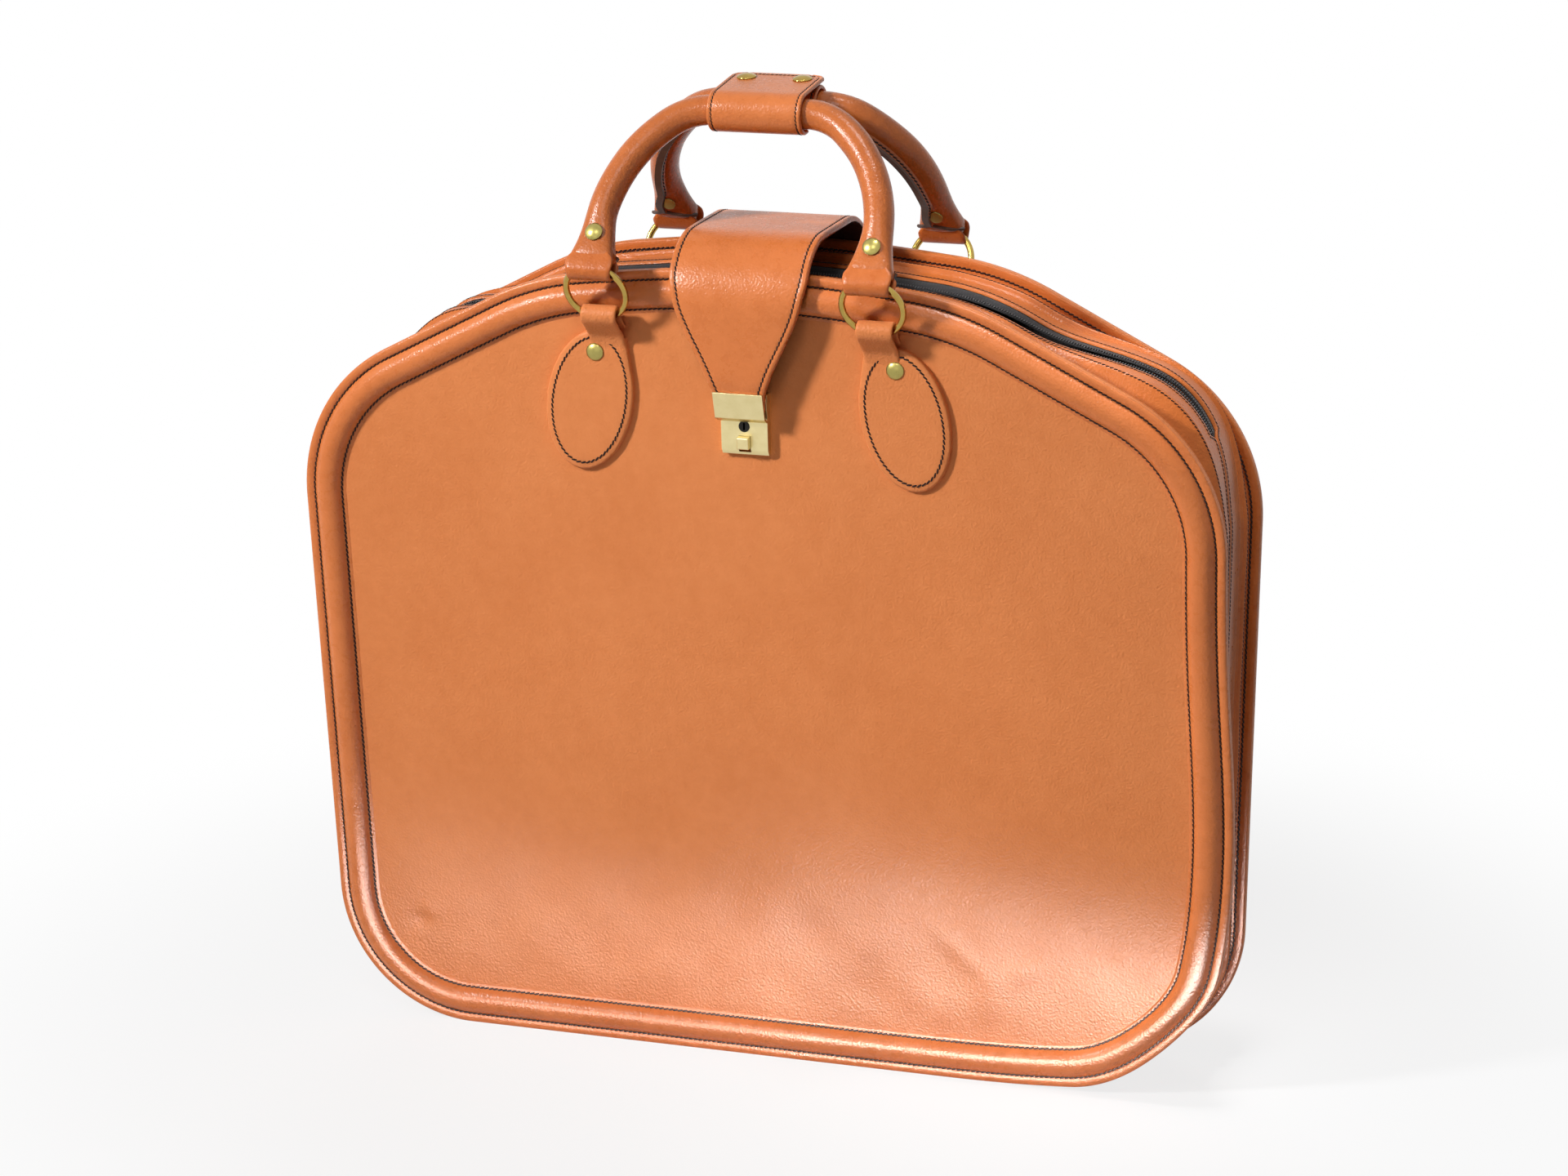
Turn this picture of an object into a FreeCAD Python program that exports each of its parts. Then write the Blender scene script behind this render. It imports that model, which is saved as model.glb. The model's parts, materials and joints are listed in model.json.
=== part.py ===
"""Soft-sided leather suitcase: two stiffened panels with raised borders, a pleated zip gusset,
a pair of rolled handles on rings joined by a snap wrap, and a locking strap over the top.

Millimetres. X runs across the case, Y from the front panel to the rear one, Z up.
The origin is on the floor, midway between the panels. Fittings are placed down from the top of the case.
Each half of the case is drawn upright with its panel's outer face on y = 0 and then tipped outwards.
"""

import FreeCAD, Part
import math
import os
from FreeCAD import Vector

# Case outline: polygon corners, each rounded
TOP_APEX_Z = 517.0
TOP_RADIUS = 700.0
BREAK_X = 136.0
BREAK_Z = TOP_APEX_Z - 14.0
BREAK_RADIUS = 180.0
SHOULDER_X = 300.0
SHOULDER_Z = 419.0
SHOULDER_RADIUS = 107.0
FOOT_X = 289.5
FOOT_RADIUS = 89.0
FOOT_TRIM = 0.2

# Halves of the case
HALF_DEPTH = 39.5
LEAN = 1.2
LEATHER = 2.0
PANEL_THICKNESS = 2.5
BOARD_THICKNESS = 2.0
LINING_THICKNESS = 0.6
LINING_CLEARANCE = 1.1
FIT = 0.05

# Raised border on each panel
BORDER_EDGE = 6.0
BORDER_WIDTH = 19.0
BORDER_HEIGHT = 7.0
BORDER_INNER_EDGE = 1.2

# Pleated gusset, as insets from the panel's edge and depths from the panel's outer face
FLANGE_WIDTH = 10.0
RIDGE_INSET = 4.5
RIDGE_START = 15.5
RIDGE_WIDTH = 8.0
STRIP_INSET = 8.5
STRIP_START = 28.0
STRIP_REACH = 55.0

# Zip between the two halves
ZIP_END_Z = SHOULDER_Z - 4.0
ZIP_END_GAP = 0.8
ZIP_SPREAD = 0.085
ZIP_TAPE_SHOWN = 3.2
ZIP_TAPE_THICKNESS = 0.8
ZIP_TAPE_TUCK = 8.0
COIL_WIDTH = 2.8
COIL_HEIGHT = 1.8

# Rings, their chapes on the panels and the handle legs
RING_X = 88.0
RING_RADIUS = 19.0
RING_BAR = 2.0
LOOP_RADIUS = 6.5
LOOP_BORE = 4.6
LOOP_WIDTH = 23.0
CHAPE_Y = -12.7
CHAPE_Z = TOP_APEX_Z - 33.0
RING_REACH_Y = -13.0
RING_REACH_Z = 31.0
TAB_THICKNESS = 4.0
TAB_CENTRE_X = 101.5
TAB_CENTRE_Z = TOP_APEX_Z - 90.0
TAB_HALF_LENGTH = 45.0
TAB_HALF_WIDTH = 28.0
TAB_SPLAY = 12.3
NECK_FOOT_Z = TOP_APEX_Z - 50.0
NECK_BACK_Z = TOP_APEX_Z - 41.0
NECK_SHOULDER = 36.0
TAB_SHOULDER = 62.0

# Rivets
RIVET_HEAD = 5.5
RIVET_RIM = 0.7
RIVET_CROWN = 1.7
RIVET_SHANK = 2.0
RIVET_CAP = 4.5
RIVET_CAP_THICKNESS = 1.0
CHAPE_RIVET_X = 96.4
CHAPE_RIVET_Z = TOP_APEX_Z - 59.0

# Handles
GRIP_Y = 14.0
GRIP_HALF = 30.0
GRIP_RADIUS = 10.0
CORE_RADIUS = 8.0
HAND_ROOM = 57.2
SIDE_BEND = 50.2
LEG_STRAIGHT = 1.75
FLARE_TOP = 28.0
FLARE_FOOT = 12.0
FLARE_HALF_WIDTH = 15.0
FLARE_HALF_THICKNESS = 6.0
FIN_HEIGHT = 4.0
FIN_THICKNESS = 4.0
FIN_STOP = 4.0
FIN_ROOT = 1.5
HANDLE_RIVET_UP = 22.0
HANDLE_RIVET_SEAT = 7.0

# Snap wrap round the two grips
WRAP_THICKNESS = 2.5
WRAP_CLEARANCE = 0.3
WRAP_UNDER = 15.0
FLAP_RISE = 6.0
FLAP_LENGTH = 41.0
FLAP_CORNER = 7.0
SNAP_X = 18.0
SNAP_RADIUS = 6.0
STUD_RADIUS = 4.0
STUD_DEPTH = 1.4
STUD_DISC = 0.84
STUD_NUB = 1.6

# Strap over the top, its tongue and its hasp
STRAP_HALF_WIDTH = 44.0
STRAP_THICKNESS = 4.0
STRAP_Y = HALF_DEPTH + 24.5
STRAP_FOLD_Z = TOP_APEX_Z - 26.0
STRAP_BEND = 40.0
TONGUE_BEND_Z = TOP_APEX_Z - 71.0
TONGUE_BEND = 14.0
TONGUE_END_Z = TOP_APEX_Z - 89.0
TONGUE_TAPER_Z = TOP_APEX_Z - 7.0
TONGUE_WAIST = ((39.8, 26.0), (34.2, 39.0), (24.0, 59.0), (16.4, 77.0))
TONGUE_TIP_HALF = 15.2
ANCHOR_LAND_Z = TOP_APEX_Z - 52.0
ANCHOR_CLIMB = 23.0
ANCHOR_EASE = 2.0
ANCHOR_END_Z = TOP_APEX_Z - 92.0
ANCHOR_CORNER = 16.0
ANCHOR_RIVET_X = 28.0
ANCHOR_RIVET_Z = TOP_APEX_Z - 75.0
HASP_HALF_WIDTH = 16.0
HASP_TOP_Z = TOP_APEX_Z - 76.0
HASP_THICKNESS = 1.4
HASP_LIP_Z = TOP_APEX_Z - 93.0
HASP_BACK_THICKNESS = 1.0
HASP_BACK_RAISE = 2.0
HASP_PIN_X = 9.6
HASP_PIN_Z = TOP_APEX_Z - 83.5
STAPLE_HALF = 5.0
STAPLE_BAR = 1.8
STAPLE_Z = TOP_APEX_Z - 88.0
STAPLE_DEPTH = 3.2
STAPLE_CLEARANCE = 0.6
STAPLE_ROOM_BELOW = 3.0
STAPLE_ROOM_ABOVE = 1.0

# Lock on the front panel
LOCK_HALF_WIDTH = 15.0
LOCK_BOTTOM_Z = TOP_APEX_Z - 117.5
LOCK_TOP_Z = TOP_APEX_Z - 79.0
LOCK_DEPTH = 6.0
LOCK_WALL = 1.2
LOCK_BEVEL = 3.5
PLUG_RADIUS = 3.5
PLUG_Z = TOP_APEX_Z - 99.5
PLUG_PROUD = 0.4
PLUG_BACK = 1.0
KEYHOLE_WIDTH = 1.2
KEYHOLE_HEIGHT = 4.6
KEYHOLE_DEPTH = 3.0
BUTTON_HALF = 3.75
BUTTON_Z = TOP_APEX_Z - 109.4
BUTTON_PROUD = 4.5
BUTTON_ROUND = 1.0
BUTTON_FOOT = 0.6
BUTTON_FLANGE = 1.3
BUTTON_TRAVEL = 2.5
BUTTON_CLEARANCE = 0.15
BOLT_THICKNESS = 1.4
BOLT_ARM_INNER = 5.2
BOLT_ARM_OUTER = 8.5
BOLT_TOP_Z = TOP_APEX_Z - 93.0
BOLT_BAR_DROP = 1.0
SCREW_RADIUS = 1.5
SCREW_X = 11.2
SCREW_LOW_Z = TOP_APEX_Z - 113.0
SCREW_HIGH_Z = TOP_APEX_Z - 83.0
BACK_PLATE_HALF = 17.0
BACK_PLATE_MARGIN = 1.0

# Zip slider, parked just above the zip's left end
SLIDER_ABOVE_END = 7.0
SLIDER_LENGTH = 11.0
SLIDER_HALF_WIDTH = 4.0
SLIDER_PLATE = 1.3
SLIDER_GAP = 0.4
SLIDER_NECK_HALF = 0.35
SLIDER_NECK_LENGTH = 2.2
SLIDER_NECK_BACK = 0.3
BRIDGE_HALF_LENGTH = 3.4
BRIDGE_BAR = 1.0
BRIDGE_HALF_WIDTH = 0.9
BRIDGE_HEIGHT = 2.65
PULL_PIN = 0.7
PULL_CHEEK = 1.5
PULL_HALF_WIDTH = 3.0
PULL_LENGTH = 26.0
PULL_THICKNESS = 1.2
PULL_EYE = 5.0

LEFT_SHOULDER = (-SHOULDER_X, SHOULDER_Z, SHOULDER_RADIUS)
CORNERS = [
    (0.0, TOP_APEX_Z, TOP_RADIUS),
    (-BREAK_X, BREAK_Z, BREAK_RADIUS),
    LEFT_SHOULDER,
    (-FOOT_X, -FOOT_TRIM, FOOT_RADIUS),
    (FOOT_X, -FOOT_TRIM, FOOT_RADIUS),
    (SHOULDER_X, SHOULDER_Z, SHOULDER_RADIUS),
    (BREAK_X, BREAK_Z, BREAK_RADIUS),
]
FAR = 1000.0
X_AXIS = Vector(1, 0, 0)
Y_AXIS = Vector(0, 1, 0)
Z_AXIS = Vector(0, 0, 1)
ORIGIN = Vector(0, 0, 0)

BOARD_BACK = PANEL_THICKNESS + BOARD_THICKNESS
FLANGE_BACK = PANEL_THICKNESS + LEATHER
WALL_INSET = FLANGE_WIDTH + LEATHER
LINING_INSET = WALL_INSET + LINING_THICKNESS
LINING_FRONT = BOARD_BACK + LINING_CLEARANCE
BORDER_INSIDE = BORDER_EDGE + BORDER_WIDTH
BORDER_MIDDLE = BORDER_EDGE + BORDER_WIDTH / 2
WRAP_INNER = GRIP_RADIUS + WRAP_CLEARANCE
WRAP_OUTER = WRAP_INNER + WRAP_THICKNESS
STRAP_TOP_Z = STRAP_FOLD_Z + STRAP_BEND + STRAP_THICKNESS / 2
GRIP_Z = STRAP_TOP_Z + HAND_ROOM + WRAP_OUTER
LEG_TOP = FLARE_TOP + LEG_STRAIGHT


# Building blocks

def edge_frame(inset):
    """Start, middle, end, centre and turn of each rounded corner of the outline moved in by inset."""
    count = len(CORNERS)
    points = [Vector(x, 0, z) for x, z, _ in CORNERS]
    rounds = []
    for i, (_, _, radius) in enumerate(CORNERS):
        arrive = (points[i] - points[i - 1]).normalize()
        leave = (points[(i + 1) % count] - points[i]).normalize()
        turn = arrive.getAngle(leave)
        inward = (leave - arrive).normalize()
        centre = points[i] + inward * (radius / math.cos(turn / 2))
        reach = radius - inset
        start = centre + Vector(arrive.z, 0, -arrive.x) * reach
        end = centre + Vector(leave.z, 0, -leave.x) * reach
        rounds.append((start, centre - inward * reach, end, centre, turn))
    return rounds


def outline_wire(inset, y):
    """The case outline, moved inwards by inset, at depth y."""
    rounds = edge_frame(inset)
    edges = []
    for i, (start, middle, end, _, _) in enumerate(rounds):
        edges.append(Part.Arc(start, middle, end).toShape())
        edges.append(Part.LineSegment(end, rounds[(i + 1) % len(rounds)][0]).toShape())
    wire = Part.Wire(edges)
    wire.translate(Vector(0, y, 0))
    return wire


def plate(inset, y_from, y_to):
    """A flat sheet with the case outline."""
    return Part.Face(outline_wire(inset, y_from)).extrude(Vector(0, y_to - y_from, 0))


def band(inset_from, inset_to, y_from, y_to):
    """A hoop that follows the case outline between two insets."""
    return plate(inset_from, y_from, y_to).cut(plate(inset_to, y_from, y_to))


def placed_points(points, place):
    """Puts drawn points into space; a pair of points stays a pair."""
    return [(place(p[0]), place(p[1])) if isinstance(p[0], tuple) else place(p) for p in points]


def closed_face(points):
    """A face from points; a pair of points in the list is an arc through the first to the second."""
    edges = []
    here = points[0]
    for step in points[1:] + [points[0]]:
        if isinstance(step, tuple):
            edges.append(Part.Arc(here, step[0], step[1]).toShape())
            here = step[1]
        elif here.distanceToPoint(step) > 1e-6:
            edges.append(Part.LineSegment(here, step).toShape())
            here = step
    return Part.Face(Part.Wire(edges))


def swept_hoop(profile):
    """A profile of (inset, y) points, arcs given as pairs, carried round the case outline."""

    def face_at(base, outward):
        def place(p):
            return base - outward * p[0] + Vector(0, p[1], 0)

        return closed_face(placed_points(profile, place))

    rounds = edge_frame(0)
    pieces = []
    for i, (start, _, end, centre, turn) in enumerate(rounds):
        following = rounds[(i + 1) % len(rounds)][0]
        bend_face = face_at(start, (start - centre).normalize())
        pieces.append(bend_face.revolve(centre, -Y_AXIS, math.degrees(turn)))
        pieces.append(face_at(end, (end - centre).normalize()).extrude(following - end))
    return pieces[0].multiFuse(pieces[1:]).removeSplitter()


def prism_x(points, half_width, middle=0.0):
    """A solid with a side outline of (y, z) points, arcs given as pairs, spread along X about middle."""

    def place(p):
        return Vector(middle - half_width, p[0], p[1])

    return closed_face(placed_points(points, place)).extrude(Vector(2 * half_width, 0, 0))


def block(x0, x1, y0, y1, z0, z1):
    """A box between two corners."""
    return Part.makeBox(x1 - x0, y1 - y0, z1 - z0, Vector(x0, y0, z0))


def rod(radius, start, end):
    """A round bar between two points."""
    along = end - start
    return Part.makeCylinder(radius, along.Length, start, along)


def dome(radius, rim, crown, base, outward):
    """A rivet or snap head: a short rim under a crown cut from a ball, standing on base."""
    ball = (radius ** 2 + crown ** 2) / (2 * crown)
    centre = rim + crown - ball
    halfway = math.asin(radius / ball) / 2
    half = closed_face([
        Vector(0, 0, 0),
        Vector(radius, 0, 0),
        Vector(radius, 0, rim),
        (Vector(ball * math.sin(halfway), 0, centre + ball * math.cos(halfway)), Vector(0, 0, rim + crown)),
    ])
    head = half.revolve(ORIGIN, Z_AXIS, 360)
    head.Placement = FreeCAD.Placement(base, FreeCAD.Rotation(Z_AXIS, outward))
    return head


def rivet(face, outward, grip):
    """A cap rivet whose head stands on face; its shank runs back through grip to a flat cap."""
    back = face - outward * grip
    shank = rod(RIVET_SHANK, face, back)
    cap = rod(RIVET_CAP, back, back - outward * RIVET_CAP_THICKNESS)
    return dome(RIVET_HEAD, RIVET_RIM, RIVET_CROWN, face, outward).multiFuse([shank, cap]).removeSplitter()


def rivet_hole(face, outward, grip):
    """The hole that a rivet's shank fills."""
    return rod(RIVET_SHANK + FIT, face + outward, face - outward * (grip + 1))


def on_front(shape):
    """Tips an upright half outwards and sets it at the front."""
    placed = shape.copy()
    placed.rotate(ORIGIN, X_AXIS, LEAN)
    placed.translate(Vector(0, -HALF_DEPTH, 0))
    return placed


def on_rear(shape):
    """The same half turned round to the rear."""
    placed = on_front(shape)
    placed.rotate(ORIGIN, Z_AXIS, 180)
    return placed


def front_point(point):
    """Where a point of the upright half lies once it is tipped at the front."""
    return FreeCAD.Rotation(X_AXIS, LEAN).multVec(point) - Vector(0, HALF_DEPTH, 0)


def stood_flat(shape):
    """Trims a placed piece level with the floor."""
    return shape.cut(block(-FAR, FAR, -FAR, FAR, -FAR, 0))


# Halves of the case, drawn upright

def rivet_stack():
    """Thickness that a chape rivet clamps: tab, panel and board."""
    return TAB_THICKNESS + BOARD_BACK


def chape_rivet_face(side):
    return Vector(side * CHAPE_RIVET_X, -TAB_THICKNESS, CHAPE_RIVET_Z)


def chape_rivet_holes():
    holes = [rivet_hole(chape_rivet_face(side), -Y_AXIS, rivet_stack()) for side in (-1, 1)]
    return holes[0].fuse(holes[1])


def make_panel():
    return plate(0, 0, PANEL_THICKNESS).cut(chape_rivet_holes())


def make_board():
    return plate(WALL_INSET + FIT, PANEL_THICKNESS, BOARD_BACK).cut(chape_rivet_holes())


def cord_arc():
    """Underside of the border's leather, from its inner edge over the cord to its outer one."""
    return (BORDER_MIDDLE, LEATHER - BORDER_HEIGHT), (BORDER_EDGE + LEATHER, 0)


def make_border():
    """Leather strip sewn flat along the case's edge and arched over a cord."""
    return swept_hoop([
        (0, 0),
        (0, -LEATHER),
        (BORDER_EDGE, -LEATHER),
        ((BORDER_MIDDLE, -BORDER_HEIGHT), (BORDER_INSIDE, -BORDER_INNER_EDGE)),
        (BORDER_INSIDE, 0),
        (BORDER_INSIDE - LEATHER, 0),
        cord_arc(),
    ])


def make_border_cord():
    return swept_hoop([(BORDER_EDGE + LEATHER, 0), (BORDER_INSIDE - LEATHER, 0), cord_arc()])


def make_gusset():
    """Flange sewn to the panel, then a wall that folds out to a ridge and back to the zip strip."""
    ridge_end = RIDGE_START + RIDGE_WIDTH
    ridge_inside = RIDGE_INSET + LEATHER
    strip_inside = STRIP_INSET + LEATHER
    return swept_hoop([
        (0, PANEL_THICKNESS),
        (0, FLANGE_BACK),
        (FLANGE_WIDTH, FLANGE_BACK),
        (RIDGE_INSET, RIDGE_START),
        (RIDGE_INSET, ridge_end),
        (STRIP_INSET, STRIP_START),
        (STRIP_INSET, STRIP_REACH),
        (strip_inside, STRIP_REACH),
        (strip_inside, STRIP_START),
        (ridge_inside, ridge_end),
        (ridge_inside, RIDGE_START),
        (WALL_INSET, FLANGE_BACK),
        (WALL_INSET, PANEL_THICKNESS),
    ])


def make_lining():
    """Fabric tray inside one half."""
    floor = plate(LINING_INSET, LINING_FRONT, LINING_FRONT + LINING_THICKNESS)
    wall = band(LINING_INSET, LINING_INSET + LINING_THICKNESS, LINING_FRONT, STRIP_START)
    return floor.fuse(wall).removeSplitter()


# Zip, cut to the line where the two halves meet

def beyond_zip(setback, bottom):
    """Everything behind the front zip line, set back towards the front, above bottom."""
    def line_y(z):
        return -(ZIP_END_GAP + ZIP_SPREAD * max(0.0, z - ZIP_END_Z) + setback)

    profile = [(line_y(bottom), bottom)]
    if bottom < ZIP_END_Z:
        profile.append((line_y(ZIP_END_Z), ZIP_END_Z))
    profile += [(line_y(FAR), FAR), (FAR, FAR), (FAR, bottom)]
    return prism_x(profile, FAR)


def make_front_gusset():
    placed = stood_flat(on_front(make_gusset()))
    closed = placed.cut(block(-FAR, FAR, 0, FAR, -FAR, FAR))
    return closed.cut(beyond_zip(ZIP_TAPE_SHOWN + COIL_WIDTH, ZIP_END_Z))


def make_front_zip_tape():
    inside = STRIP_INSET + LEATHER
    strip = on_front(band(inside, inside + ZIP_TAPE_THICKNESS, STRIP_START, STRIP_REACH))
    foot = ZIP_END_Z - ZIP_TAPE_TUCK
    return strip.cut(block(-FAR, FAR, -FAR, FAR, -FAR, foot)).cut(beyond_zip(0, foot))


def make_front_zip_coil():
    inside = STRIP_INSET + LEATHER
    strip = on_front(band(inside - COIL_HEIGHT, inside, STRIP_START, STRIP_REACH))
    row = strip.cut(block(-FAR, FAR, -FAR, FAR, -FAR, ZIP_END_Z)).cut(beyond_zip(0, ZIP_END_Z))
    return row.common(beyond_zip(COIL_WIDTH, ZIP_END_Z))


def shoulder_centre():
    """Centre of the left shoulder's round on the middle plane of the case."""
    centre = edge_frame(0)[CORNERS.index(LEFT_SHOULDER)][3]
    middle = front_point(centre + Vector(0, HALF_DEPTH, 0))
    return Vector(middle.x, 0, middle.z)


def slider_frame():
    """Puts a slider drawn along X with Z outwards onto the zip, just above its left end."""
    centre = shoulder_centre()
    reach = SHOULDER_RADIUS - (STRIP_INSET + LEATHER - COIL_HEIGHT)
    angle = math.asin((ZIP_END_Z - centre.z) / reach) + SLIDER_ABOVE_END / reach
    outward = Vector(-math.cos(angle), 0, math.sin(angle))
    upward = Vector(math.sin(angle), 0, math.cos(angle))
    across = outward.cross(upward)
    origin = centre + outward * reach
    return FreeCAD.Matrix(
        upward.x, across.x, outward.x, origin.x,
        upward.y, across.y, outward.y, origin.y,
        upward.z, across.z, outward.z, origin.z,
        0, 0, 0, 1,
    )


def set_on_zip(shape):
    placed = shape.copy()
    placed.Placement = FreeCAD.Placement(slider_frame())
    return placed


def make_zip_slider():
    """Two plates joined by a thin neck between the coils, with a bridge for the pull."""
    half = SLIDER_LENGTH / 2
    tape_back = COIL_HEIGHT + ZIP_TAPE_THICKNESS + SLIDER_GAP
    top = block(-half, half, -SLIDER_HALF_WIDTH, SLIDER_HALF_WIDTH, SLIDER_GAP, SLIDER_GAP + SLIDER_PLATE)
    bottom = block(-half, half, -SLIDER_HALF_WIDTH, SLIDER_HALF_WIDTH, -tape_back - SLIDER_PLATE, -tape_back)
    neck_end = half - SLIDER_NECK_BACK
    neck = block(neck_end - SLIDER_NECK_LENGTH, neck_end,
                 -SLIDER_NECK_HALF, SLIDER_NECK_HALF, -tape_back, SLIDER_GAP)
    deck = SLIDER_GAP + SLIDER_PLATE
    crown = deck + BRIDGE_HEIGHT
    width = BRIDGE_HALF_WIDTH
    posts = [
        block(side * BRIDGE_HALF_LENGTH - BRIDGE_BAR / 2, side * BRIDGE_HALF_LENGTH + BRIDGE_BAR / 2,
              -width, width, deck, crown)
        for side in (-1, 1)
    ]
    span = BRIDGE_HALF_LENGTH + BRIDGE_BAR / 2
    bar = block(-span, span, -width, width, crown, crown + BRIDGE_BAR)
    return set_on_zip(top.multiFuse([bottom, neck, bar] + posts).removeSplitter())


def make_zip_pull():
    """Cross pin under the slider's bridge, two cheeks and a flat tab that lies down the zip."""
    axis_up = SLIDER_GAP + SLIDER_PLATE + BRIDGE_HEIGHT / 2
    low = axis_up - PULL_THICKNESS / 2
    high = axis_up + PULL_THICKNESS / 2
    pin = rod(PULL_PIN, Vector(0, -PULL_HALF_WIDTH, axis_up), Vector(0, PULL_HALF_WIDTH, axis_up))
    tab = block(-PULL_LENGTH, -PULL_EYE, -PULL_HALF_WIDTH, PULL_HALF_WIDTH, low, high)
    cheeks = [
        block(-PULL_EYE, PULL_PIN, min(side * PULL_CHEEK, side * PULL_HALF_WIDTH),
              max(side * PULL_CHEEK, side * PULL_HALF_WIDTH), low, high)
        for side in (-1, 1)
    ]
    return set_on_zip(pin.multiFuse([tab] + cheeks).removeSplitter())


# Chapes and rings

def make_chape(side):
    """Leather tab sewn on the panel whose neck folds round a ring."""
    x = side * RING_X
    half = LOOP_WIDTH / 2
    loop = rod(LOOP_RADIUS, Vector(x - half, CHAPE_Y, CHAPE_Z), Vector(x + half, CHAPE_Y, CHAPE_Z))
    shoulder = math.radians(NECK_SHOULDER)
    front_y = CHAPE_Y - LOOP_RADIUS * math.cos(shoulder)
    back_y = CHAPE_Y + LOOP_RADIUS * math.cos(shoulder)
    neck_z = CHAPE_Z - LOOP_RADIUS * math.sin(shoulder)
    neck = prism_x([
        (front_y, neck_z),
        (-TAB_THICKNESS, NECK_FOOT_Z),
        (0, NECK_FOOT_Z),
        (0, NECK_BACK_Z),
        (back_y, neck_z),
    ], half, x)
    leather = loop.multiFuse([neck, make_tab(side)])
    bore = rod(LOOP_BORE, Vector(x - LOOP_WIDTH, CHAPE_Y, CHAPE_Z), Vector(x + LOOP_WIDTH, CHAPE_Y, CHAPE_Z))
    return leather.cut(bore).cut(chape_rivet_holes()).removeSplitter()


def make_tab(side):
    """Oval that splays outwards as it goes down, with a taper from the neck into it."""
    splay = math.radians(TAB_SPLAY)
    up = Vector(-side * math.sin(splay), 0, math.cos(splay))
    right = Vector(math.cos(splay), 0, side * math.sin(splay))
    centre = Vector(side * TAB_CENTRE_X, -TAB_THICKNESS, TAB_CENTRE_Z)
    through = Vector(0, TAB_THICKNESS, 0)
    rim = Part.Ellipse(centre + up * TAB_HALF_LENGTH, centre + right * TAB_HALF_WIDTH, centre).toShape()
    oval = Part.Face(Part.Wire([rim])).extrude(through)
    spread = math.radians(TAB_SHOULDER)
    shoulder_up = up * (TAB_HALF_LENGTH * math.cos(spread))
    shoulder_out = right * (TAB_HALF_WIDTH * math.sin(spread))
    neck_left = Vector(side * RING_X - LOOP_WIDTH / 2, -TAB_THICKNESS, NECK_FOOT_Z)
    neck_right = neck_left + Vector(LOOP_WIDTH, 0, 0)
    taper = closed_face([
        neck_left,
        centre + shoulder_up - shoulder_out,
        centre + shoulder_up + shoulder_out,
        neck_right,
    ]).extrude(through)
    return oval.fuse(taper)


def make_chape_rivets():
    heads = [rivet(chape_rivet_face(side), -Y_AXIS, rivet_stack()) for side in (-1, 1)]
    return Part.makeCompound(heads)


def ring_lean():
    """Angle by which a ring stands forward of its panel."""
    return math.degrees(math.atan2(-RING_REACH_Y, RING_REACH_Z))


def make_ring(side):
    ring = Part.makeTorus(RING_RADIUS, RING_BAR, ORIGIN, Y_AXIS)
    ring.rotate(ORIGIN, X_AXIS, ring_lean())
    ring.translate(Vector(side * RING_X, CHAPE_Y + RING_REACH_Y / 2, CHAPE_Z + RING_REACH_Z / 2))
    return ring


# Handles, drawn upright with the leg loops on z = 0

def handle_axis():
    """Middle of the front handle's pivot line."""
    return front_point(Vector(0, CHAPE_Y + RING_REACH_Y, CHAPE_Z + RING_REACH_Z))


def handle_reach():
    """From the pivot line to the middle of the front grip."""
    return Vector(0, -GRIP_Y, GRIP_Z) - handle_axis()


def set_handle(shape):
    """Tips an upright handle inwards over the case, at the front."""
    reach = handle_reach()
    placed = shape.copy()
    placed.rotate(ORIGIN, X_AXIS, -math.degrees(math.atan2(reach.y, reach.z)))
    placed.translate(handle_axis())
    return placed


def turned_round(shape):
    placed = shape.copy()
    placed.rotate(ORIGIN, Z_AXIS, 180)
    return placed


def handle_bends(side):
    """Centre, radius, start angle and turn of one leg's side bend and top bend, from the leg up.

    The two radii are the ones that take the leg in to the grip and up to its height.
    """
    top = handle_reach().Length
    inward = RING_X - GRIP_HALF
    rise = top - LEG_TOP
    side_turn = math.radians(SIDE_BEND)
    sine = math.sin(side_turn)
    cosine = math.cos(side_turn)
    share = cosine * sine - (1 - cosine) * (1 - sine)
    side_radius = (cosine * rise - (1 - sine) * inward) / share
    top_radius = (sine * inward - (1 - cosine) * rise) / share
    side_centre = Vector(side * (RING_X - side_radius), 0, LEG_TOP)
    top_centre = Vector(side * GRIP_HALF, 0, top - top_radius)
    return [
        (side_centre, side_radius, 0.0, side_turn),
        (top_centre, top_radius, side_turn, math.pi / 2 - side_turn),
    ]


def handle_roll(radius):
    """Round roll along the handle's arch, from flare to flare."""
    top = handle_reach().Length
    pieces = [rod(radius, Vector(-GRIP_HALF, 0, top), Vector(GRIP_HALF, 0, top))]
    for side in (-1, 1):
        for centre, bend, start, turn in handle_bends(side):
            foot = centre + Vector(side * bend, 0, 0)
            disc = Part.Face(Part.Wire([Part.Circle(foot, Z_AXIS, radius).toShape()]))
            disc.rotate(centre, Y_AXIS * -side, math.degrees(start))
            pieces.append(disc.revolve(centre, Y_AXIS * -side, math.degrees(turn)))
        pieces.append(rod(radius, Vector(side * RING_X, 0, FLARE_TOP), Vector(side * RING_X, 0, LEG_TOP)))
    return pieces[0].multiFuse(pieces[1:]).removeSplitter()


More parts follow.
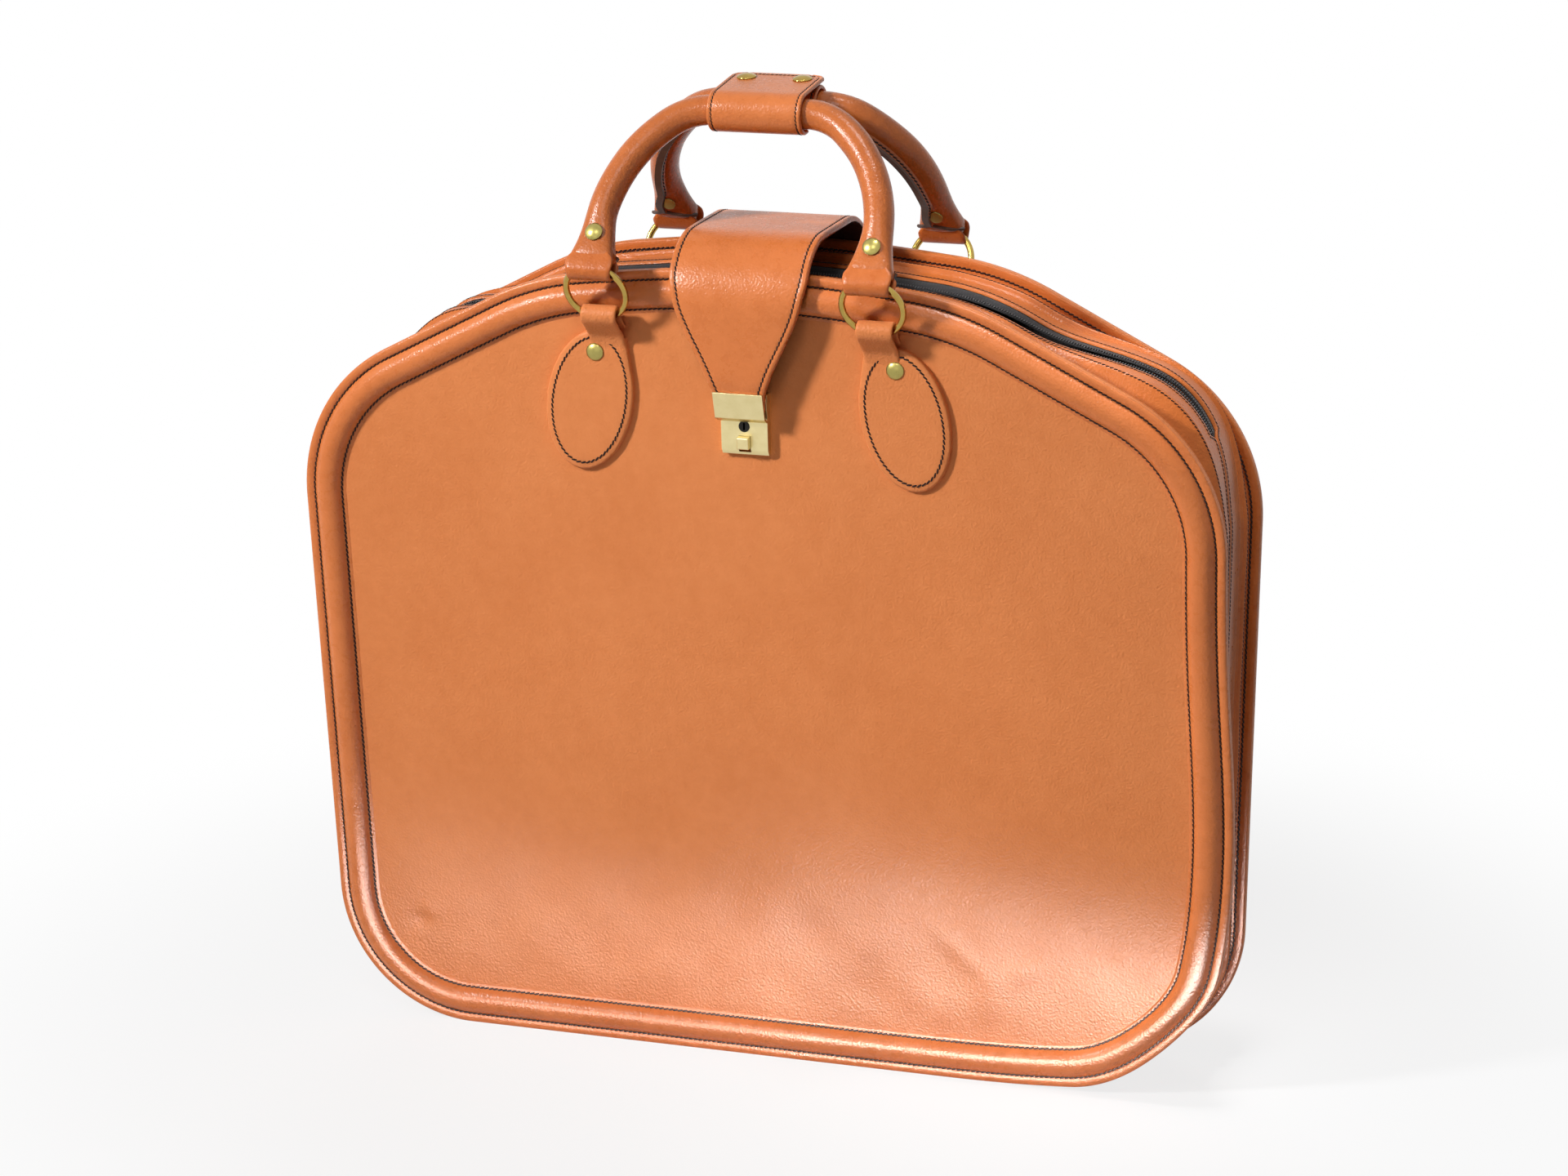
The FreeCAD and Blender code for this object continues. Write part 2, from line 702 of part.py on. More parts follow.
def handle_fin(side):
    """Sewn edges of the leather along one leg's bends, on the face towards the other handle."""
    root = Y_AXIS * (GRIP_RADIUS - FIN_ROOT)
    tip = Y_AXIS * (GRIP_RADIUS + FIN_HEIGHT)
    bars = []
    for centre, radius, start, turn in handle_bends(side):
        near = Vector(side * (radius - FIN_THICKNESS / 2), 0, 0)
        far = Vector(side * (radius + FIN_THICKNESS / 2), 0, 0)
        corners = [near + root, far + root, far + tip, near + tip]
        section = closed_face([centre + corner for corner in corners])
        section.rotate(centre, Y_AXIS * -side, math.degrees(start))
        stop = math.radians(FIN_STOP) if start > 0 else 0.0
        bars.append(section.revolve(centre, Y_AXIS * -side, math.degrees(turn - stop)))
    return bars[0].fuse(bars[1])


def handle_end(side):
    """Flare from the roll to the flat fold that holds a ring."""
    x = side * RING_X

    def oval(z):
        centre = Vector(x, 0, z)
        wide = centre + Vector(FLARE_HALF_WIDTH, 0, 0)
        thick = centre + Vector(0, FLARE_HALF_THICKNESS, 0)
        return Part.Wire([Part.Ellipse(wide, thick, centre).toShape()])

    top = Part.Wire([Part.Circle(Vector(x, 0, FLARE_TOP), Z_AXIS, GRIP_RADIUS).toShape()])
    flare = Part.makeLoft([oval(FLARE_FOOT), top], True, True)
    fold = Part.Face(oval(0)).extrude(Vector(0, 0, FLARE_FOOT))
    half = LOOP_WIDTH / 2
    loop = rod(LOOP_RADIUS, Vector(x - half, 0, 0), Vector(x + half, 0, 0))
    bore = rod(LOOP_BORE, Vector(x - LOOP_WIDTH, 0, 0), Vector(x + LOOP_WIDTH, 0, 0))
    return flare.multiFuse([fold, loop]).cut(bore)


def handle_rivet_face(side):
    return Vector(side * RING_X, -HANDLE_RIVET_SEAT, HANDLE_RIVET_UP)


def make_handle():
    """Leather of one handle: roll, sewn edges, flared ends and rivet seats."""
    pieces = []
    for side in (-1, 1):
        pieces += [handle_end(side), handle_fin(side)]
    leather = handle_roll(GRIP_RADIUS).multiFuse(pieces)
    leather = leather.cut(handle_roll(CORE_RADIUS))
    for side in (-1, 1):
        face = handle_rivet_face(side)
        rear = Vector(face.x, -face.y, face.z)
        leather = leather.cut(rod(RIVET_HEAD + FIT, face, face - Y_AXIS * GRIP_RADIUS))
        leather = leather.cut(rod(RIVET_CAP + FIT, rear, rear + Y_AXIS * GRIP_RADIUS))
        leather = leather.cut(rivet_hole(face, -Y_AXIS, 2 * HANDLE_RIVET_SEAT))
    return leather.removeSplitter()


def make_handle_rivets():
    heads = [rivet(handle_rivet_face(side), -Y_AXIS, 2 * HANDLE_RIVET_SEAT) for side in (-1, 1)]
    return Part.makeCompound(heads)


# Snap wrap, drawn in place round the grips

def around_front_grip(radius, degrees):
    """Point of a circle round the front grip as (y, z); 90 is up and 180 is forwards."""
    angle = math.radians(degrees)
    return -GRIP_Y + radius * math.cos(angle), GRIP_Z + radius * math.sin(angle)


def make_wrap_cover():
    """Leather that hugs the front grip from underneath, round the front, to the flap."""
    start = 90 + FLAP_RISE
    end = 270 + WRAP_UNDER
    middle = (start + end) / 2
    return prism_x([
        around_front_grip(WRAP_OUTER, start),
        (around_front_grip(WRAP_OUTER, middle), around_front_grip(WRAP_OUTER, end)),
        around_front_grip(WRAP_INNER, end),
        (around_front_grip(WRAP_INNER, middle), around_front_grip(WRAP_INNER, start)),
    ], GRIP_HALF)


def flap_point(along, radius):
    """Point (y, z) of the flap, measured along it from its fold."""
    y, z = around_front_grip(radius, 90 + FLAP_RISE)
    rise = math.radians(FLAP_RISE)
    return y + along * math.cos(rise), z + along * math.sin(rise)


def flap_up():
    rise = math.radians(FLAP_RISE)
    return Vector(0, -math.sin(rise), math.cos(rise))


def snap_base(side, radius):
    """Where a snap goes through the flap, over the middle of the rear grip."""
    fold_y, _ = around_front_grip(GRIP_RADIUS, 90 + FLAP_RISE)
    y, z = flap_point((GRIP_Y - fold_y) / math.cos(math.radians(FLAP_RISE)), radius)
    return Vector(side * SNAP_X, y, z)


def make_wrap_flap():
    flap = prism_x([
        flap_point(0, WRAP_INNER),
        flap_point(FLAP_LENGTH, WRAP_INNER),
        flap_point(FLAP_LENGTH, WRAP_OUTER),
        flap_point(0, WRAP_OUTER),
    ], GRIP_HALF)
    far_y, _ = flap_point(FLAP_LENGTH, WRAP_INNER)
    corners = [
        edge for edge in flap.Edges
        if abs(edge.Length - WRAP_THICKNESS) < 0.01 and edge.BoundBox.Center.y > far_y - WRAP_THICKNESS
    ]
    flap = flap.makeFillet(FLAP_CORNER, corners)
    for side in (-1, 1):
        foot = snap_base(side, WRAP_INNER)
        flap = flap.cut(rod(RIVET_SHANK + FIT, foot - flap_up(), foot + flap_up() * 2 * WRAP_THICKNESS))
    return flap


def make_snap_caps():
    caps = []
    for side in (-1, 1):
        head = dome(SNAP_RADIUS, RIVET_RIM, RIVET_CROWN, snap_base(side, WRAP_OUTER), flap_up())
        post = rod(RIVET_SHANK, snap_base(side, WRAP_INNER), snap_base(side, WRAP_OUTER))
        caps.append(head.fuse(post).removeSplitter())
    return Part.makeCompound(caps)


def stud_floor(side):
    return Vector(side * SNAP_X, GRIP_Y, GRIP_Z + WRAP_OUTER - STUD_DEPTH)


def make_rear_sleeve():
    """Leather tube on the rear grip with a flat seat for each snap stud."""
    left = Vector(-GRIP_HALF, GRIP_Y, GRIP_Z)
    right = Vector(GRIP_HALF, GRIP_Y, GRIP_Z)
    sleeve = rod(WRAP_OUTER, left, right).cut(rod(WRAP_INNER, left, right))
    for side in (-1, 1):
        floor = stud_floor(side)
        sleeve = sleeve.cut(rod(STUD_RADIUS + FIT, floor, floor + Z_AXIS * WRAP_THICKNESS))
    return sleeve


def make_snap_studs():
    studs = []
    for side in (-1, 1):
        floor = stud_floor(side)
        rim = floor + Z_AXIS * STUD_DISC
        disc = rod(STUD_RADIUS, floor, rim)
        nub = rod(STUD_NUB, rim, floor + Z_AXIS * (STUD_DEPTH - FIT))
        studs.append(disc.fuse(nub).removeSplitter())
    return Part.makeCompound(studs)


# Strap, drawn in place

def panel_y(z):
    """How far the rear panel's outer face is from the middle plane at a height."""
    return HALF_DEPTH + z * math.tan(math.radians(LEAN))


def strap_faces():
    return STRAP_Y - STRAP_THICKNESS / 2, STRAP_Y + STRAP_THICKNESS / 2


def make_strap():
    """Strap over the top, from its rear fold to its front fold."""
    inside, outside = strap_faces()
    turn = STRAP_Y - STRAP_BEND
    diagonal = math.sqrt(0.5)
    over = STRAP_BEND + STRAP_THICKNESS / 2
    under = STRAP_BEND - STRAP_THICKNESS / 2

    def arc(side, radius, end):
        return (side * (turn + radius * diagonal), STRAP_FOLD_Z + radius * diagonal), end

    strap = prism_x([
        (-outside, STRAP_FOLD_Z),
        arc(-1, over, (-turn, STRAP_FOLD_Z + over)),
        (turn, STRAP_FOLD_Z + over),
        arc(1, over, (outside, STRAP_FOLD_Z)),
        (inside, STRAP_FOLD_Z),
        arc(1, under, (turn, STRAP_FOLD_Z + under)),
        (-turn, STRAP_FOLD_Z + under),
        arc(-1, under, (-inside, STRAP_FOLD_Z)),
    ], STRAP_HALF_WIDTH)
    tapering = block(-FAR, FAR, -FAR, -turn, -FAR, TONGUE_TAPER_Z)
    return strap.cut(tapering.cut(tongue_outline()))


def tongue_outline():
    """Front view of the strap where it narrows, as a solid through the case."""
    low = TONGUE_END_Z - STRAP_THICKNESS
    edges = []
    for side in (-1, 1):
        curve = Part.BSplineCurve()
        curve.interpolate(
            [Vector(side * STRAP_HALF_WIDTH, -FAR, TONGUE_TAPER_Z)]
            + [Vector(side * half, -FAR, TOP_APEX_Z - drop) for half, drop in TONGUE_WAIST]
            + [Vector(side * TONGUE_TIP_HALF, -FAR, low)]
        )
        edges.append(curve.toShape())
    for z, half in ((TONGUE_TAPER_Z, STRAP_HALF_WIDTH), (low, TONGUE_TIP_HALF)):
        edges.append(Part.LineSegment(Vector(-half, -FAR, z), Vector(half, -FAR, z)).toShape())
    return Part.Face(Part.Wire(Part.__sortEdges__(edges))).extrude(Vector(0, FAR, 0))


def anchor_rivet_face(side):
    return Vector(side * ANCHOR_RIVET_X, panel_y(ANCHOR_RIVET_Z) + STRAP_THICKNESS, ANCHOR_RIVET_Z)


def rear_outward():
    return FreeCAD.Rotation(X_AXIS, -LEAN).multVec(Y_AXIS)


def anchor_rivet_holes():
    holes = [rivet_hole(anchor_rivet_face(side), rear_outward(), rivet_stack()) for side in (-1, 1)]
    return holes[0].fuse(holes[1])


def make_strap_anchor():
    """End of the strap that lies on the rear panel and climbs over its border."""
    inside, outside = strap_faces()
    clear_z = ANCHOR_LAND_Z + ANCHOR_CLIMB
    bend_z = ANCHOR_LAND_Z - ANCHOR_EASE
    anchor = prism_x([
        (inside, STRAP_FOLD_Z),
        (outside, STRAP_FOLD_Z),
        (outside, clear_z),
        (panel_y(bend_z) + STRAP_THICKNESS, bend_z),
        (panel_y(ANCHOR_END_Z) + STRAP_THICKNESS, ANCHOR_END_Z),
        (panel_y(ANCHOR_END_Z), ANCHOR_END_Z),
        (panel_y(ANCHOR_LAND_Z), ANCHOR_LAND_Z),
        (inside, clear_z),
    ], STRAP_HALF_WIDTH)
    corners = [
        edge for edge in anchor.Edges
        if edge.BoundBox.ZMax < ANCHOR_END_Z + 1 and edge.BoundBox.YLength > STRAP_THICKNESS / 2
    ]
    return anchor.makeFillet(ANCHOR_CORNER, corners).cut(anchor_rivet_holes())


def make_anchor_rivets():
    heads = [rivet(anchor_rivet_face(side), rear_outward(), rivet_stack()) for side in (-1, 1)]
    return Part.makeCompound(heads)


def bent_in(shape):
    """Turns the tongue's end inwards, towards the lock."""
    placed = shape.copy()
    placed.rotate(Vector(0, -STRAP_Y, TONGUE_BEND_Z), X_AXIS, TONGUE_BEND)
    return placed


def hasp_pin(x):
    """One of the pins that clamp the hasp's plates to the tongue."""
    inside, outside = strap_faces()
    front = Vector(x, -outside, HASP_PIN_Z)
    back = Vector(x, -inside + HASP_BACK_THICKNESS, HASP_PIN_Z)
    return bent_in(rod(SCREW_RADIUS, front, back))


def hasp_pins():
    return Part.makeCompound([hasp_pin(side * HASP_PIN_X) for side in (-1, 1)])


def make_tongue():
    """Front of the strap: it narrows in a curve and turns in at its end."""
    inside, outside = strap_faces()
    turn = math.radians(TONGUE_BEND)
    reach = TONGUE_BEND_Z - TONGUE_END_Z
    ease = STRAP_THICKNESS / 2 * math.tan(turn / 2)
    drop = Vector(0, math.sin(turn), -math.cos(turn))
    bend = Vector(0, -STRAP_Y, TONGUE_BEND_Z) + drop * reach
    across = Vector(0, math.cos(turn), math.sin(turn)) * (STRAP_THICKNESS / 2)
    side_view = prism_x([
        (-outside, STRAP_FOLD_Z),
        (-outside, TONGUE_BEND_Z + ease),
        ((bend - across).y, (bend - across).z),
        ((bend + across).y, (bend + across).z),
        (-inside, TONGUE_BEND_Z - ease),
        (-inside, STRAP_FOLD_Z),
    ], STRAP_HALF_WIDTH)
    return side_view.common(tongue_outline()).cut(hasp_pins())


def make_hasp_plate():
    """Front plate of the hasp with a turned-in lip that hides the tongue's end."""
    _, outside = strap_faces()
    front = -outside - HASP_THICKNESS
    lip = STRAP_THICKNESS
    return bent_in(prism_x([
        (front, HASP_TOP_Z),
        (front, HASP_LIP_Z),
        (front + lip, HASP_LIP_Z - lip),
        (front + lip + HASP_THICKNESS, HASP_LIP_Z - lip + HASP_THICKNESS / 2),
        (-outside, HASP_LIP_Z + HASP_THICKNESS / 2),
        (-outside, HASP_TOP_Z),
    ], HASP_HALF_WIDTH))


def make_hasp_back():
    """Back plate of the hasp with the staple that enters the lock."""
    inside, _ = strap_faces()
    sheet = bent_in(block(-HASP_HALF_WIDTH, HASP_HALF_WIDTH, -inside, -inside + HASP_BACK_THICKNESS,
                          HASP_LIP_Z + HASP_BACK_RAISE, HASP_TOP_Z))
    root_y = sheet.BoundBox.YMax - HASP_BACK_THICKNESS
    tip_y = STAPLE_DEPTH - LOCK_DEPTH - panel_y(STAPLE_Z)
    top = STAPLE_Z + STAPLE_BAR
    legs = [
        block(min(side * STAPLE_HALF, side * (STAPLE_HALF - STAPLE_BAR)),
              max(side * STAPLE_HALF, side * (STAPLE_HALF - STAPLE_BAR)), root_y, tip_y, STAPLE_Z, top)
        for side in (-1, 1)
    ]
    bar = block(-STAPLE_HALF, STAPLE_HALF, tip_y - STAPLE_BAR, tip_y, STAPLE_Z, top)
    return sheet.multiFuse(legs + [bar]).cut(hasp_pins()).removeSplitter()


# Lock, drawn with the upright front half

def screw_places():
    return [Vector(side * SCREW_X, 0, z) for side in (-1, 1) for z in (SCREW_LOW_Z, SCREW_HIGH_Z)]


def screw_holes():
    holes = [rod(SCREW_RADIUS + FIT, p - Y_AXIS * LOCK_DEPTH, p + Y_AXIS * LOCK_DEPTH) for p in screw_places()]
    return holes[0].multiFuse(holes[1:])


def make_lock_case():
    """Brass housing, open at the back, with holes for the key plug, the button and the staple."""
    case = prism_x([
        (0, LOCK_BOTTOM_Z),
        (-LOCK_DEPTH + LOCK_BEVEL / 2, LOCK_BOTTOM_Z),
        (-LOCK_DEPTH, LOCK_BOTTOM_Z + LOCK_BEVEL),
        (-LOCK_DEPTH, LOCK_TOP_Z),
        (0, LOCK_TOP_Z),
    ], LOCK_HALF_WIDTH)
    hollow = LOCK_HALF_WIDTH - LOCK_WALL
    case = case.cut(block(-hollow, hollow, -LOCK_DEPTH + LOCK_WALL, FIT,
                          LOCK_BOTTOM_Z + LOCK_WALL, LOCK_TOP_Z - LOCK_WALL))
    bore = rod(PLUG_RADIUS + FIT, Vector(0, -2 * LOCK_DEPTH, PLUG_Z), Vector(0, FIT, PLUG_Z))
    width = BUTTON_HALF + BUTTON_CLEARANCE
    slot = block(-width, width, -2 * LOCK_DEPTH, -LOCK_DEPTH / 2,
                 BUTTON_Z - width - BUTTON_TRAVEL, BUTTON_Z + width)
    window = STAPLE_HALF + STAPLE_CLEARANCE
    mouth = block(-window, window, -2 * LOCK_DEPTH, -LOCK_DEPTH / 2,
                  STAPLE_Z - STAPLE_ROOM_BELOW, STAPLE_Z + STAPLE_BAR + STAPLE_ROOM_ABOVE)
    return case.cut(bore).cut(slot).cut(mouth)


def make_key_plug():
    front = -LOCK_DEPTH - PLUG_PROUD
    plug = rod(PLUG_RADIUS, Vector(0, front, PLUG_Z), Vector(0, -PLUG_BACK, PLUG_Z))
    key = block(-KEYHOLE_WIDTH / 2, KEYHOLE_WIDTH / 2, front, front + KEYHOLE_DEPTH,
                PLUG_Z - KEYHOLE_HEIGHT / 2, PLUG_Z + KEYHOLE_HEIGHT / 2)
    return plug.cut(key)


def button_flange_front():
    return -LOCK_DEPTH + LOCK_WALL + BUTTON_CLEARANCE


def make_lock_button():
    """Square push button with a flange behind the lock's face."""
    flange = button_flange_front()
    knob = block(-BUTTON_HALF, BUTTON_HALF, -LOCK_DEPTH - BUTTON_PROUD, flange,
                 BUTTON_Z - BUTTON_HALF, BUTTON_Z + BUTTON_HALF)
    rim = [edge for edge in knob.Edges if edge.BoundBox.YMax < -LOCK_DEPTH - BUTTON_PROUD + FIT]
    knob = knob.makeFillet(BUTTON_ROUND, rim)
    back = block(-BOLT_ARM_INNER, BOLT_ARM_INNER, flange, flange + BUTTON_FLANGE,
                 BUTTON_Z - BUTTON_HALF + BUTTON_FOOT, BUTTON_Z + BUTTON_HALF)
    return knob.fuse(back).removeSplitter()


def make_latch_bolt():
    """Fork behind the button that reaches past the key plug to the staple."""
    front = button_flange_front() + BUTTON_FLANGE
    back = front + BOLT_THICKNESS
    foot_z = BUTTON_Z - BUTTON_HALF + BUTTON_FOOT
    bar = block(-BOLT_ARM_OUTER, BOLT_ARM_OUTER, front, back, foot_z, BUTTON_Z + BUTTON_HALF - BOLT_BAR_DROP)
    arms = [
        block(min(side * BOLT_ARM_INNER, side * BOLT_ARM_OUTER),
              max(side * BOLT_ARM_INNER, side * BOLT_ARM_OUTER), front, back, foot_z, BOLT_TOP_Z)
        for side in (-1, 1)
    ]
    return bar.multiFuse(arms).removeSplitter()


def make_lock_screws():
    """Posts from the lock case through the panel and board to the plate behind them."""
    posts = [rod(SCREW_RADIUS, p - Y_AXIS * (LOCK_DEPTH - LOCK_WALL), p + Y_AXIS * BOARD_BACK)
             for p in screw_places()]
    return Part.makeCompound(posts)


def make_lock_back_plate():
    return block(-BACK_PLATE_HALF, BACK_PLATE_HALF, BOARD_BACK, BOARD_BACK + RIVET_CAP_THICKNESS,
                 LOCK_BOTTOM_Z - BACK_PLATE_MARGIN, LOCK_TOP_Z + BACK_PLATE_MARGIN)


# Assembly

def both_halves(name, shape):
    """The same upright piece at the front and at the rear."""
    return {"front_" + name: stood_flat(on_front(shape)), "rear_" + name: stood_flat(on_rear(shape))}


def front_and_turned(name, shape):
    """A placed front piece and the same piece turned round to the rear."""
    return {"front_" + name: shape, "rear_" + name: turned_round(shape)}


def build():
    nodes = {}
    nodes.update(both_halves("panel", make_panel()))
    nodes.update(both_halves("board", make_board()))
    nodes.update(both_halves("border", make_border()))
    nodes.update(both_halves("border_cord", make_border_cord()))
    nodes.update(both_halves("lining", make_lining()))
    nodes["front_panel"] = nodes["front_panel"].cut(on_front(screw_holes()))
    nodes["front_board"] = nodes["front_board"].cut(on_front(screw_holes()))
    nodes["rear_panel"] = nodes["rear_panel"].cut(anchor_rivet_holes())
    nodes["rear_board"] = nodes["rear_board"].cut(anchor_rivet_holes())
    nodes.update(front_and_turned("gusset", make_front_gusset()))
    nodes.update(front_and_turned("zip_tape", make_front_zip_tape()))
    nodes.update(front_and_turned("zip_coil", make_front_zip_coil()))
    nodes["zip_slider"] = make_zip_slider()
    nodes["zip_pull"] = make_zip_pull()
    for side, word in ((-1, "left"), (1, "right")):
        nodes["front_%s_chape" % word] = on_front(make_chape(side))
        nodes["rear_%s_chape" % word] = on_rear(make_chape(-side))
        nodes["front_%s_ring" % word] = on_front(make_ring(side))
        nodes["rear_%s_ring" % word] = on_rear(make_ring(-side))
    nodes.update(front_and_turned("chape_rivets", on_front(make_chape_rivets())))
    nodes.update(front_and_turned("handle", set_handle(make_handle())))
    nodes.update(front_and_turned("handle_core", set_handle(handle_roll(CORE_RADIUS))))
    nodes.update(front_and_turned("handle_rivets", set_handle(make_handle_rivets())))
    nodes["wrap_cover"] = make_wrap_cover()
    nodes["wrap_flap"] = make_wrap_flap()
    nodes["snap_caps"] = make_snap_caps()
    nodes["rear_sleeve"] = make_rear_sleeve()
    nodes["snap_studs"] = make_snap_studs()
    nodes["strap"] = make_strap()
    nodes["strap_anchor"] = make_strap_anchor()
    nodes["anchor_rivets"] = make_anchor_rivets()
    nodes["tongue"] = make_tongue()
    nodes["hasp_plate"] = make_hasp_plate()
    nodes["hasp_back"] = make_hasp_back()
    nodes["hasp_pins"] = hasp_pins()
    nodes["lock_case"] = on_front(make_lock_case())
    nodes["key_plug"] = on_front(make_key_plug())
    nodes["lock_button"] = on_front(make_lock_button())
    nodes["latch_bolt"] = on_front(make_latch_bolt())
    nodes["lock_screws"] = on_front(make_lock_screws())
    nodes["lock_back_plate"] = on_front(make_lock_back_plate())
    return nodes


os.makedirs("parts", exist_ok=True)
for name, shape in build().items():
    shape.exportStep(os.path.join("parts", name + ".step"))
    print(name, shape.isValid(), len(shape.Solids), round(shape.Volume, 1))
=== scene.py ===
"""Dresses the leather suitcase: cowhide, stitching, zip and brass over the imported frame.

Lengths are millimetres until a mesh is made. X runs across the case, Y to the rear and Z up.
A place on a half of the case is drawn upright, with the panel's outer face on y = 0, and then tipped.
"""

import json
import math

import bmesh
import bpy
from mathutils import Matrix, Vector, noise

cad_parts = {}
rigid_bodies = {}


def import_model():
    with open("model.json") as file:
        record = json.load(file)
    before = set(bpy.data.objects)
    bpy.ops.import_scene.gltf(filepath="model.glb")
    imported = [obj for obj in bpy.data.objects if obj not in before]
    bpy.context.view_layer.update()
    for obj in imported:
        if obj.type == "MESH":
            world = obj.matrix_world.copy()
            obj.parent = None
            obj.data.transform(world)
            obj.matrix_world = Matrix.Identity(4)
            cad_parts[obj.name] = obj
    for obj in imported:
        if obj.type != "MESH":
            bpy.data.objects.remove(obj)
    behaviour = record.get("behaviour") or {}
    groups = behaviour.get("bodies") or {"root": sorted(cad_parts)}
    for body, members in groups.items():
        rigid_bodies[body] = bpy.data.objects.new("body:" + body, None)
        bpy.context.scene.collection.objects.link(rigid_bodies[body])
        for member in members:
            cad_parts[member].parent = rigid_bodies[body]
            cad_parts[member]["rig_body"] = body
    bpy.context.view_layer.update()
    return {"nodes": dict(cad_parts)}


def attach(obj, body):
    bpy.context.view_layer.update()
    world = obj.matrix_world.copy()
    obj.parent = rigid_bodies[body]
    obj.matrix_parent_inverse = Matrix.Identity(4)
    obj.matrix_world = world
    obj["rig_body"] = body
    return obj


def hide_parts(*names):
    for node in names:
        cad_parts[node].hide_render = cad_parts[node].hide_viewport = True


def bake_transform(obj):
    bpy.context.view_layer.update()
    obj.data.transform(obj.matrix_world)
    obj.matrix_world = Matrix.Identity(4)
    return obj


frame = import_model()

MM = 0.001
X_AXIS = Vector((1, 0, 0))
Y_AXIS = Vector((0, 1, 0))
Z_AXIS = Vector((0, 0, 1))

# Case outline: corner x, corner z and radius, anticlockwise from the top as the front is seen
OUTLINE = [
    (0, 517, 700), (-136, 503, 180), (-300, 419, 107), (-289.5, -0.2, 89),
    (289.5, -0.2, 89), (300, 419, 107), (136, 503, 180),
]
EDGE_SPACING = 4.0
HALF_DEPTH = 39.5
LEAN = math.radians(1.2)
CASE_MIDDLE_Z = 250.0
HALVES = (("front", 1), ("rear", -1))

# Settled right side of the front half: it bulges about one height, and its foot is tucked in and up
SLUMP = 10.0
SLUMP_Z = 165.0
SLUMP_REACH = 110.0
SLUMP_ACROSS = (120, 290)
SLUMP_BEHIND = (5, 38)
TUCK = 8.0
TUCK_PLACE = (262, 28)
TUCK_REACH = (70, 55)

# Panel leather: a belly over its board, and a slow wander that turns to ripples near the foot
PANEL_THICKNESS = 2.5
PANEL_STEPS = 84
PANEL_ROUND = (0.4, 0.5)
PANEL_HALF = 265.0
RIM_HOLD = 14
BELLY = 5.2
BELLY_Z = 150.0
BELLY_REACH_UP = 150.0
BELLY_REACH_DOWN = 68.0
BELLY_HALF = 262.0
WANDER = 0.5
WANDER_SIZE = 90
WANDER_TOP_Z = 430
RIPPLE = 0.9
RIPPLE_SIZE = 34
RIPPLE_TOP = (170, 90)
RIPPLE_FOOT = (25, 50)

# Three creases, a dent and its lip, as middle x, middle z, tilt, half length, half width and height
PANEL_MARKS = [
    (128, 88, -0.75, 30, 7, 0.8), (172, 76, 0.5, 18, 7, 0.9), (150, 52, 1.3, 14, 7, 0.8),
    (-236, 68, 0.0, 6, 4.5, -2.0), (-230, 75, 0.0, 7, 4, 1.0),
]

# Stitching; a thread's outline is (share of its half length, share of its radius, how far it sinks in)
STITCH_PITCH = 3.2
STITCH_LENGTH = 3.7
THREAD_RADIUS = 0.62
STITCH_SLANT = math.radians(18)
FINE_PITCH = 2.6
FINE_LENGTH = 2.7
FINE_THREAD = 0.42
THREAD_OUTLINE = [
    (-1.0, 0.45, -0.55), (-0.72, 0.9, -0.12), (0.0, 1.0, 0.0), (0.72, 0.9, -0.12), (1.0, 0.45, -0.55),
]
THREAD_SIDES = 6
STITCH_PRESS = 0.45
STITCH_SINK = 0.35
FINE_SINK = 0.25

# Raised border, as (inset from the edge, height off the panel), from the edge inwards
BORDER = [
    (0.0, 0.5), (0.1, 1.5), (0.7, 2.15), (2.4, 2.45), (4.4, 2.3), (5.3, 1.75), (6.0, 1.35), (6.7, 1.75),
    (7.4, 2.9), (8.8, 4.6), (10.8, 6.05), (13.0, 6.85), (15.4, 7.1), (17.8, 6.85), (20.0, 6.0), (21.9, 4.5),
    (23.1, 2.7), (23.8, 1.2), (24.4, 0.65), (25.2, 0.75), (26.4, 0.4), (27.6, -0.4), (27.6, -1.0),
    (0.4, -1.0),
]
BORDER_STITCHES = [(6.0, 1.6), (24.3, 0.9)]
BORDER_SWELL = 0.07
BORDER_SWELL_SIZE = 60

# Pleated gusset, as (inset, depth behind the panel's face): out over flange and pleat, and back inside
GUSSET_OUTSIDE = [
    (0.3, 2.6), (0.0, 3.3), (0.3, 4.3), (1.2, 4.7), (4.0, 4.8), (6.0, 4.4), (8.0, 4.9), (9.9, 5.6),
    (10.6, 7.5), (10.2, 9.5), (8.8, 12.5), (7.0, 15.3), (5.4, 17.6), (4.5, 19.2), (4.15, 20.3), (4.3, 21.2),
    (5.2, 21.9), (6.3, 22.3), (7.4, 23.2), (8.2, 25.0), (8.5, 28.0), (8.7, 31.0),
]
GUSSET_INSIDE = [
    (10.5, 31.0), (10.6, 28.8), (10.2, 25.5), (8.6, 24.1), (6.6, 23.0), (6.1, 20.6), (6.9, 18.6),
    (10.6, 12.6), (12.2, 8.0), (12.0, 2.6),
]
GUSSET_STRIP = 8.5

# Turned edge of the zip strip, as (inset past its face, distance short of its end)
STRIP_EDGE = [(0.0, 4.0), (-0.1, 1.4), (0.5, 0.3), (1.6, 0.0), (2.0, 0.6)]
STRIP_STITCH = (-0.1, 3.4)
FLANGE_STITCH = (5.9, 4.6)
PLEAT_STITCH = (4.2, 20.4)
GUSSET_WANDER = 1.1
GUSSET_WANDER_SIZE = 45
GUSSET_LOOSE = (5, 25)

# Slack leather over each shoulder, as its middle, reach and height and the depths between which it grows
SLACKS = [(Vector((256, 0, 446)), 90.0, 14.0, 7, 27), (Vector((-209, 0, 466)), 37.0, 11.5, 8, 30)]

